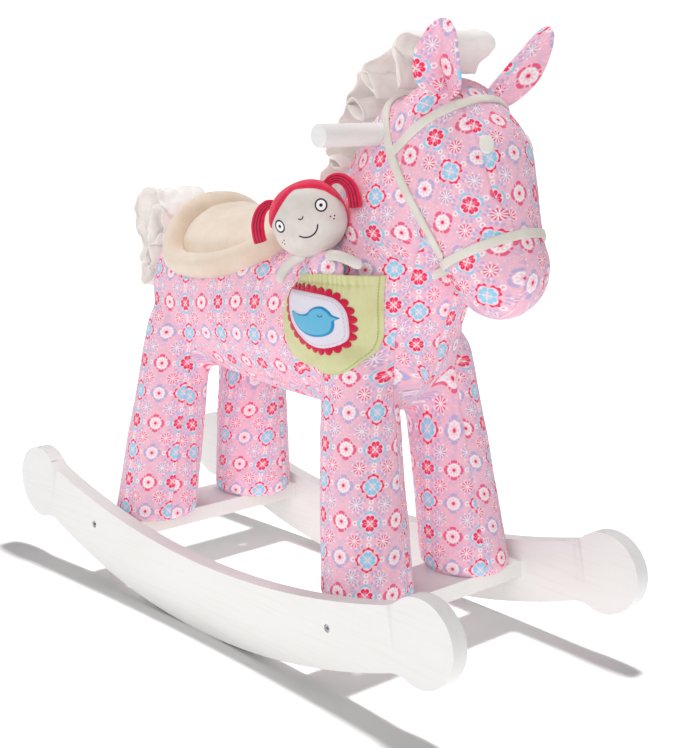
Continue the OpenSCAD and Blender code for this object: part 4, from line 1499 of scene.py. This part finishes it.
def make_tail(material):
    """A bunch of gathered cloth: loops that fall one over the other."""
    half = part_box("tail")[1].y
    points = [(-205, 424), (-222, 446), (-250, 450), (-270, 432), (-276, 402), (-270, 372), (-255, 352),
              (-243, 366), (-247, 396), (-240, 424), (-226, 428), (-224, 402), (-228, 372), (-244, 345),
              (-262, 336), (-268, 352), (-258, 374), (-236, 392), (-218, 398), (-212, 372), (-214, 350)]
    line = curve_through([mm(x, 0, z) for x, z in points], 150)
    obj, flat = gathered("tail_bunch", line, lambda s: half * (0.74 - 0.12 * s + 0.08 * sin(17 * s)), 11,
                         0.008, material, 19)
    attach(obj, "horse", "cream_fabric", "tail")


# ---------------------------------------------------------------- pocket and badge

POCKET_LOW = 302.0      # height of the pocket's lowest point, mm
POCKET_MOUTH = 399.0    # height of its mouth at the middle, mm
POCKET_MID = 133.0      # its middle, mm ahead of the horse's
POCKET_OUT = 30.0       # how far its front bows out, mm
ELASTIC = 9.0           # height of the gathered mouth, mm
POCKET_FOOT = 127.0     # where its lowest point is, mm ahead of the horse's middle


def pocket_edges(z):
    """How far forward the pocket's rear and front sewn edges are at a height, in mm."""
    t = clamp((z - POCKET_LOW) / (POCKET_MOUTH - POCKET_LOW))
    at = (0, 0.012, 0.03, 0.07, 0.13, 0.24, 0.38, 0.56, 0.72, 0.85, 1)
    rear = np.interp(t, at, (POCKET_FOOT, 100, 91, 84, 80, 77, 75, 73.5, 73, 78, 87))
    front = np.interp(t, at, (POCKET_FOOT, 153, 162, 170, 176, 182, 186, 189, 190.5, 191, 193))
    return rear, front


def make_pocket(tree, material):
    cols, rows_count = 161, 64
    rows, sewn = [], []
    face = Vector((0, -1, 0))
    for i in range(rows_count):
        b = i / (rows_count - 1)
        z = POCKET_LOW + (POCKET_MOUTH - POCKET_LOW) * (1 - cos(b * pi / 2) ** 1.15)
        rear, front = pocket_edges(z)
        row = []
        for j in range(cols):
            a = sin(pi / 2 * (2 * j / (cols - 1) - 1))
            x = (rear + front) / 2 + a * (front - rear) / 2
            height = z - 4.0 * abs(a) ** 2 * b + 0.12 * (x - POCKET_MID) * b ** 2
            where, normal = lay(tree, mm(x, -90, height), face)
            up = (z - POCKET_LOW) / (POCKET_MOUTH - POCKET_LOW)
            belly = (1 - abs(a) ** 2.4) ** 0.8 * (1 - (1 - up) ** 2.2) ** 0.75
            mouth = clamp((z - (POCKET_MOUTH - ELASTIC - 16)) / 16)
            bulge = POCKET_OUT * belly * (1 - 0.12 * ease(mouth))
            under = POCKET_MOUTH - z
            ruffle = 1.3 * sin(x * 1.35 + 1.4 * sin(x * 0.31)) * clamp(1 - (under - ELASTIC) / 9)
            neck = -2.0 * exp(-((under - ELASTIC) / 1.3) ** 2)
            gather = (ruffle + neck) * (1 - a ** 6) * belly
            fold = 1.1 * fractal(Vector((x * MM * 2.6, 0, z * MM * 0.5)), 0.05, 21) * belly
            out = 0.7 + max(0.0, bulge + gather + fold)
            row.append(where + (normal * 0.35 + face * 0.65).normalized() * out * MM)
            edge = (1 - abs(a)) * (front - rear) / 2
            # the third value is the gather depth, which the lime cotton uses for painted shade in the
            # gathers' valleys
            sewn.append((x * 0.7 + z, min(edge, 0.7 * edge + 0.5 * (z - POCKET_LOW)), gather))
        rows.append(row)
    obj = from_points("pocket_cloth", [p for r in rows for p in r], grid_faces(rows_count, cols), material)
    store(obj, "sewn", sewn, "FLOAT_VECTOR")
    flat = flat_size(rows)
    use_modifier(obj, "SOLIDIFY", thickness=0.0016, offset=0.0)
    use_modifier(obj, "SUBSURF", levels=1, render_levels=1)
    attach(obj, "horse", "lime_cotton", "pocket_bag", "pocket_band")
    return obj


def scalloped_edge(points, count, depth, per=8):
    """A smooth outline with round scallops along it."""
    n = count * per
    base = curve_through([(a, b, 0) for a, b in points], n, closed=True)
    out = []
    for i, p in enumerate(base):
        d = (base[(i + 1) % n] - base[i - 1]).normalized()
        swing = depth * (abs(sin(pi * i / per)) ** 0.6 - 0.5)
        out.append(tuple((p + Vector((-d.y, d.x, 0)) * swing).to_2d()))
    return out


def smooth_outline(points, count):
    return [tuple(p.to_2d()) for p in curve_through([(a, b, 0) for a, b in points], count, closed=True)]


def make_badge(pocket):
    tree = tree_of(pocket)
    at = (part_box("badge_felt")[0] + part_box("badge_felt")[1]) / 2 + mm(0.5, 0, 0)
    facing, across = Vector((0.12, -1, 0.05)), Vector((1, 0, 0))
    red = [(-42, 27), (-28, 29.5), (-12, 31), (5, 30.5), (21, 28.5), (31, 22), (36.5, 11), (37, -4),
           (34, -18), (26, -27), (12, -32), (-4, -31), (-18, -26), (-29, -16), (-36.5, -2), (-41, 12)]
    white = [(-37, 23.5), (-34, 24.2), (-20, 25.2), (-4, 25.5), (12, 25), (25, 22), (32, 12), (33, -3),
             (31, -16), (22, -24), (8, -27.5), (-7, -25), (-19, -17), (-28, -6), (-34, 8), (-37, 20)]
    bird = [(-27, 8), (-20, 6.2), (-12, 6.4), (-6, 8.6), (-1.5, 13), (5, 16.4), (12, 17), (18, 13.6),
            (21, 10), (27, 7.6), (22.4, 4.6), (21.6, -1), (18, -8), (9, -12.6), (-3, -13.4), (-15, -9.4),
            (-23, -1.5)]
    felt_piece = applique("badge_scallops", tree, at, facing, across, scalloped_edge(red, 26, 4.6),
                          0.0011, felt("red_felt", "#e5244e", "#cb1740"), 0.0008)
    attach(felt_piece, "horse", "red_felt", "badge_felt")
    patch = applique("badge_leaf", tree, at, facing, across, smooth_outline(white, 120), 0.0009,
                     badge_white(), 0.0019)
    attach(patch, "horse", "white_felt", "badge_patch")
    bird_piece = applique("badge_bluebird", tree, at + mm(0, 0, -2.5), facing, across,
                          smooth_outline(bird, 150), 0.0010, bird_satin(), 0.0028)
    attach(bird_piece, "horse", "blue_satin", "badge_bird")


# ---------------------------------------------------------------- doll

DOLL_AT = centre("doll_head") + mm(0, 0, 4.5)
DOLL_FRONT = Vector((0.545, -0.839, 0))
DOLL_SIDE = Vector((0.739, 0.480, 0.473)).normalized()
DOLL_UP = Vector((-0.397, -0.258, 0.881)).normalized()
HEAD = (36.2, 26.5, 35.6)       # the doll's head: half its width, depth and height, mm


def doll_point(x, y, z):
    """A point given in mm in the doll's head's own directions: to its side, behind its face, and up."""
    return DOLL_AT + (DOLL_SIDE * x - DOLL_FRONT * y + DOLL_UP * z) * MM


def skull(x, y, z, grow=0.0):
    """The head's surface in the direction (x, y, z), in mm: round, with full cheeks and a flat face."""
    d = Vector((x, y, z)).normalized()
    a, b, c = HEAD
    full = 1 / ((abs(d.x) / a) ** 2.25 + (abs(d.y) / b) ** 2.25 + (abs(d.z) / c) ** 2.25) ** (1 / 2.25)
    cheeks = 1 + 0.025 * exp(-((d.z + 0.35) / 0.35) ** 2) * abs(d.x)
    return d * (full * cheeks + grow)


def make_doll_head(material):
    rows, cols = 64, 96
    rings, local = [], []
    for i in range(rows):
        t = pi * (i + 0.5) / rows
        ring = []
        for j in range(cols):
            a = 2 * pi * j / cols
            p = skull(sin(t) * cos(a), -cos(t), sin(t) * sin(a))
            seam = exp(-((p.y - 5) / 1.1) ** 2) * 0.6
            p -= p.normalized() * seam
            p += p.normalized() * 0.35 * fractal(p * MM, 0.02, 31)
            local.append(tuple(p))
            ring.append(doll_point(*p))
        rings.append(ring)
    head = loft("doll_face", rings, material)
    local += [(0, -HEAD[1], 0), (0, HEAD[1], 0)]
    store(head, "local", local, "FLOAT_VECTOR")
    attach(head, "doll", "doll_skin", "doll_head")
    return head


def hairline(x):
    """How high the fringe starts at x across the face, in mm."""
    return float(np.interp(x, (-38, -30, -20, -10, 1, 5, 14, 24, 31, 36, 39),
                           (6, 12, 18.5, 24.5, 30.5, 31, 27.5, 22.5, 16, 5, -6)))


def make_hair(material):
    """A cap from the crown to the fringe in front and to the nape behind."""
    pole = Vector((0, 0.75, 0.66))
    e1, e2 = Vector((1, 0, 0)), pole.cross(Vector((1, 0, 0)))
    count, rows = 128, 26

    def under(p):
        if p.y > 2:
            return p.z < -24 + clamp((8 - p.y) / 6) * 26
        return p.z < hairline(p.x) + clamp((p.y + 2) / 4) * -4

    def scalp(j, t, grow=0.0):
        a = 2 * pi * j / count
        side = e1 * cos(a) + e2 * sin(a)
        return skull(*(pole * cos(t) + side * sin(t)), grow)

    verts, ends = [], []
    for j in range(count):
        end = 0.3
        for k in range(400):
            t = 0.25 + k * 0.006
            if under(scalp(j, t)):
                break
            end = t
        ends.append(end)
    ends = [(ends[j - 2] + ends[j - 1] + 2 * ends[j] + ends[(j + 1) % count] + ends[(j + 2) % count]) / 6
            for j in range(count)]
    for outer in (True, False):
        for i in range(1, rows + 1):
            s = i / rows
            lift = 1.9 * sqrt(clamp(1 - clamp((s - 0.94) / 0.06) ** 2)) if outer else 0.0
            for j in range(count):
                verts.append(doll_point(*scalp(j, ends[j] * s, 0.15 + lift)))
    verts += [doll_point(*skull(*pole, grow)) for grow in (2.05, 0.15)]
    hair = face_outward(from_points("doll_cap", verts, two_layers(rows, count), material))
    attach(hair, "doll", "doll_hair", "doll_hair")


def make_bunches(material):
    """Two arched bunches of hair, flat and striped."""
    left = [(-22, 1, 26), (-31, 2, 31), (-41, 2, 28), (-49, 1, 19), (-53, 0, 9), (-54.5, 0, 2)]
    right = [(28, 1, 20), (38, 2, 24), (47, 2, 20), (51.5, 1, 10), (50.5, 0, -1), (47.5, -1, -10)]
    meshes, local = [], []
    for points in (left, right):
        path = [doll_point(*p) for p in curve_through(points, 60)]
        rings = sweep_rings(path, [DOLL_FRONT] * len(path), lambda s: (4.4 + 2.2 * ease(s * 1.3)) * MM,
                            lambda s: (2.0 + 0.9 * s) * MM, 0.6, 24)
        for ring in (rings[0], rings[-1]):
            mid = sum(ring, Vector()) / len(ring)
            tight = [mid + (p - mid) * 0.7 for p in ring]
            if ring is rings[0]:
                rings.insert(0, tight)
            else:
                rings.append([p + (rings[-1][0] - rings[-2][0]).normalized() * 0.0008 for p in tight])
        obj = loft("bunch", rings, material)
        for ring in rings:
            for i in range(24):
                c = cos(2 * pi * i / 24)
                local.append((copysign(abs(c) ** 0.6, c) * 5.4, 0, 0))
        local += [(0, 0, 0)] * 2
        meshes.append(obj)
    bunches = join_all("doll_bunches", meshes)
    store(bunches, "local", local, "FLOAT_VECTOR")
    attach(bunches, "doll", "doll_hair", "doll_pigtails")


def keep_outside(obj, tree, gap):
    """Moves points that lie inside the surface, or too close to it, straight out to it."""
    p = coords(obj)
    for i, q in enumerate(p):
        where, normal, _, _ = tree.find_nearest(Vector(q))
        off = (Vector(q) - where).dot(normal)
        if off < gap:
            p[i] = where + normal * gap
    set_coords(obj, p)


def make_dress(cotton, body_tree):
    neck, hem = mm(136, -95, 421), mm(158, -90, 369)
    axis = (neck - hem).normalized()
    rings, data = [], []
    n, m = 26, 40
    for i in range(n):
        t = i / (n - 1)
        side = DOLL_SIDE.lerp(Vector((0.9, 0, 0.42)), ease(t * 1.4)).normalized()
        side = (side - axis * side.dot(axis)).normalized()
        front = side.cross(axis)
        if front.y > 0:
            front = -front
        wide = np.interp(t, (0, 0.06, 0.16, 0.4, 0.7, 1), (6, 12, 17, 20, 16, 11)) * MM
        deep = np.interp(t, (0, 0.06, 0.3, 1), (5, 7.5, 7.5, 5)) * MM
        mid = neck.lerp(hem, t)
        ring = []
        for j in range(m):
            a = 2 * pi * j / m
            flute = 1 + 0.05 * sin(5 * a + 1) * t
            ring.append(mid + side * wide * cos(a) * flute + front * deep * sin(a) * flute)
            data.append(((a / (2 * pi)) * 100 + 10, t * 50 + 20, 0))
        rings.append(ring)
    dress = loft("doll_frock", rings, cotton)
    data += [(0, 0, 0)] * 2
    print_on(dress, data)
    keep_outside(dress, body_tree, 0.0008)
    attach(dress, "doll", "printed_cotton", "doll_dress")


def make_arms(material, body_tree):
    arms = (((124, -102, 417), (114, -109, 412), (106, -116, 401), (103, -119, 389)),
            ((150, -100, 420), (166, -100, 421), (180, -97, 418), (193, -93, 413)))
    meshes, local = [], []
    for points in arms:
        path = curve_through([mm(*p) for p in points], 30)
        rings = sweep_rings(path, [Vector((0.2, -1, 0.3))] * 30, round_ends(5.0 * MM, 0.16),
                            round_ends(4.3 * MM, 0.16), 0.95, 20)
        obj = loft("arm", rings, material)
        keep_outside(obj, body_tree, 0.0006)
        meshes.append(obj)
        local += [(v.co.x * 1000, 20, v.co.z * 1000) for v in obj.data.vertices]
    sleeves = join_all("doll_sleeves", meshes)
    store(sleeves, "local", local, "FLOAT_VECTOR")
    attach(sleeves, "doll", "doll_skin", "doll_arms")


# ---------------------------------------------------------------- everything, in order

make_camera()
make_world()
make_lights(make_floor())
dress_wood()
cotton = printed_cotton()
body = make_body(cotton)
finish_body(body)
skin = tree_of(body)
# through=0.4 gives the cream cloth of the mane and tail a painted glow as well as subsurface scattering
cream = woven("cream_fabric", "#f8f3ef", "#eee8e3", crease=0.5, through=0.4)
make_saddle(skin, suede())
make_bridle(skin, woven("bridle_tape", "#ebe7df", "#ddd7cc", 0.7, 0.04))
make_eyes(skin, satin_stitch())
for side in (-1, 1):
    make_ear(side, cotton)
make_mane(skin, cream)
make_tail(cream)
pocket = make_pocket(skin, lime_cotton())
make_badge(pocket)
doll_skin = doll_cloth()
make_doll_head(doll_skin)
make_hair(hair_jersey(False))
make_bunches(hair_jersey(True))
make_dress(cotton, skin)
make_arms(doll_skin, skin)
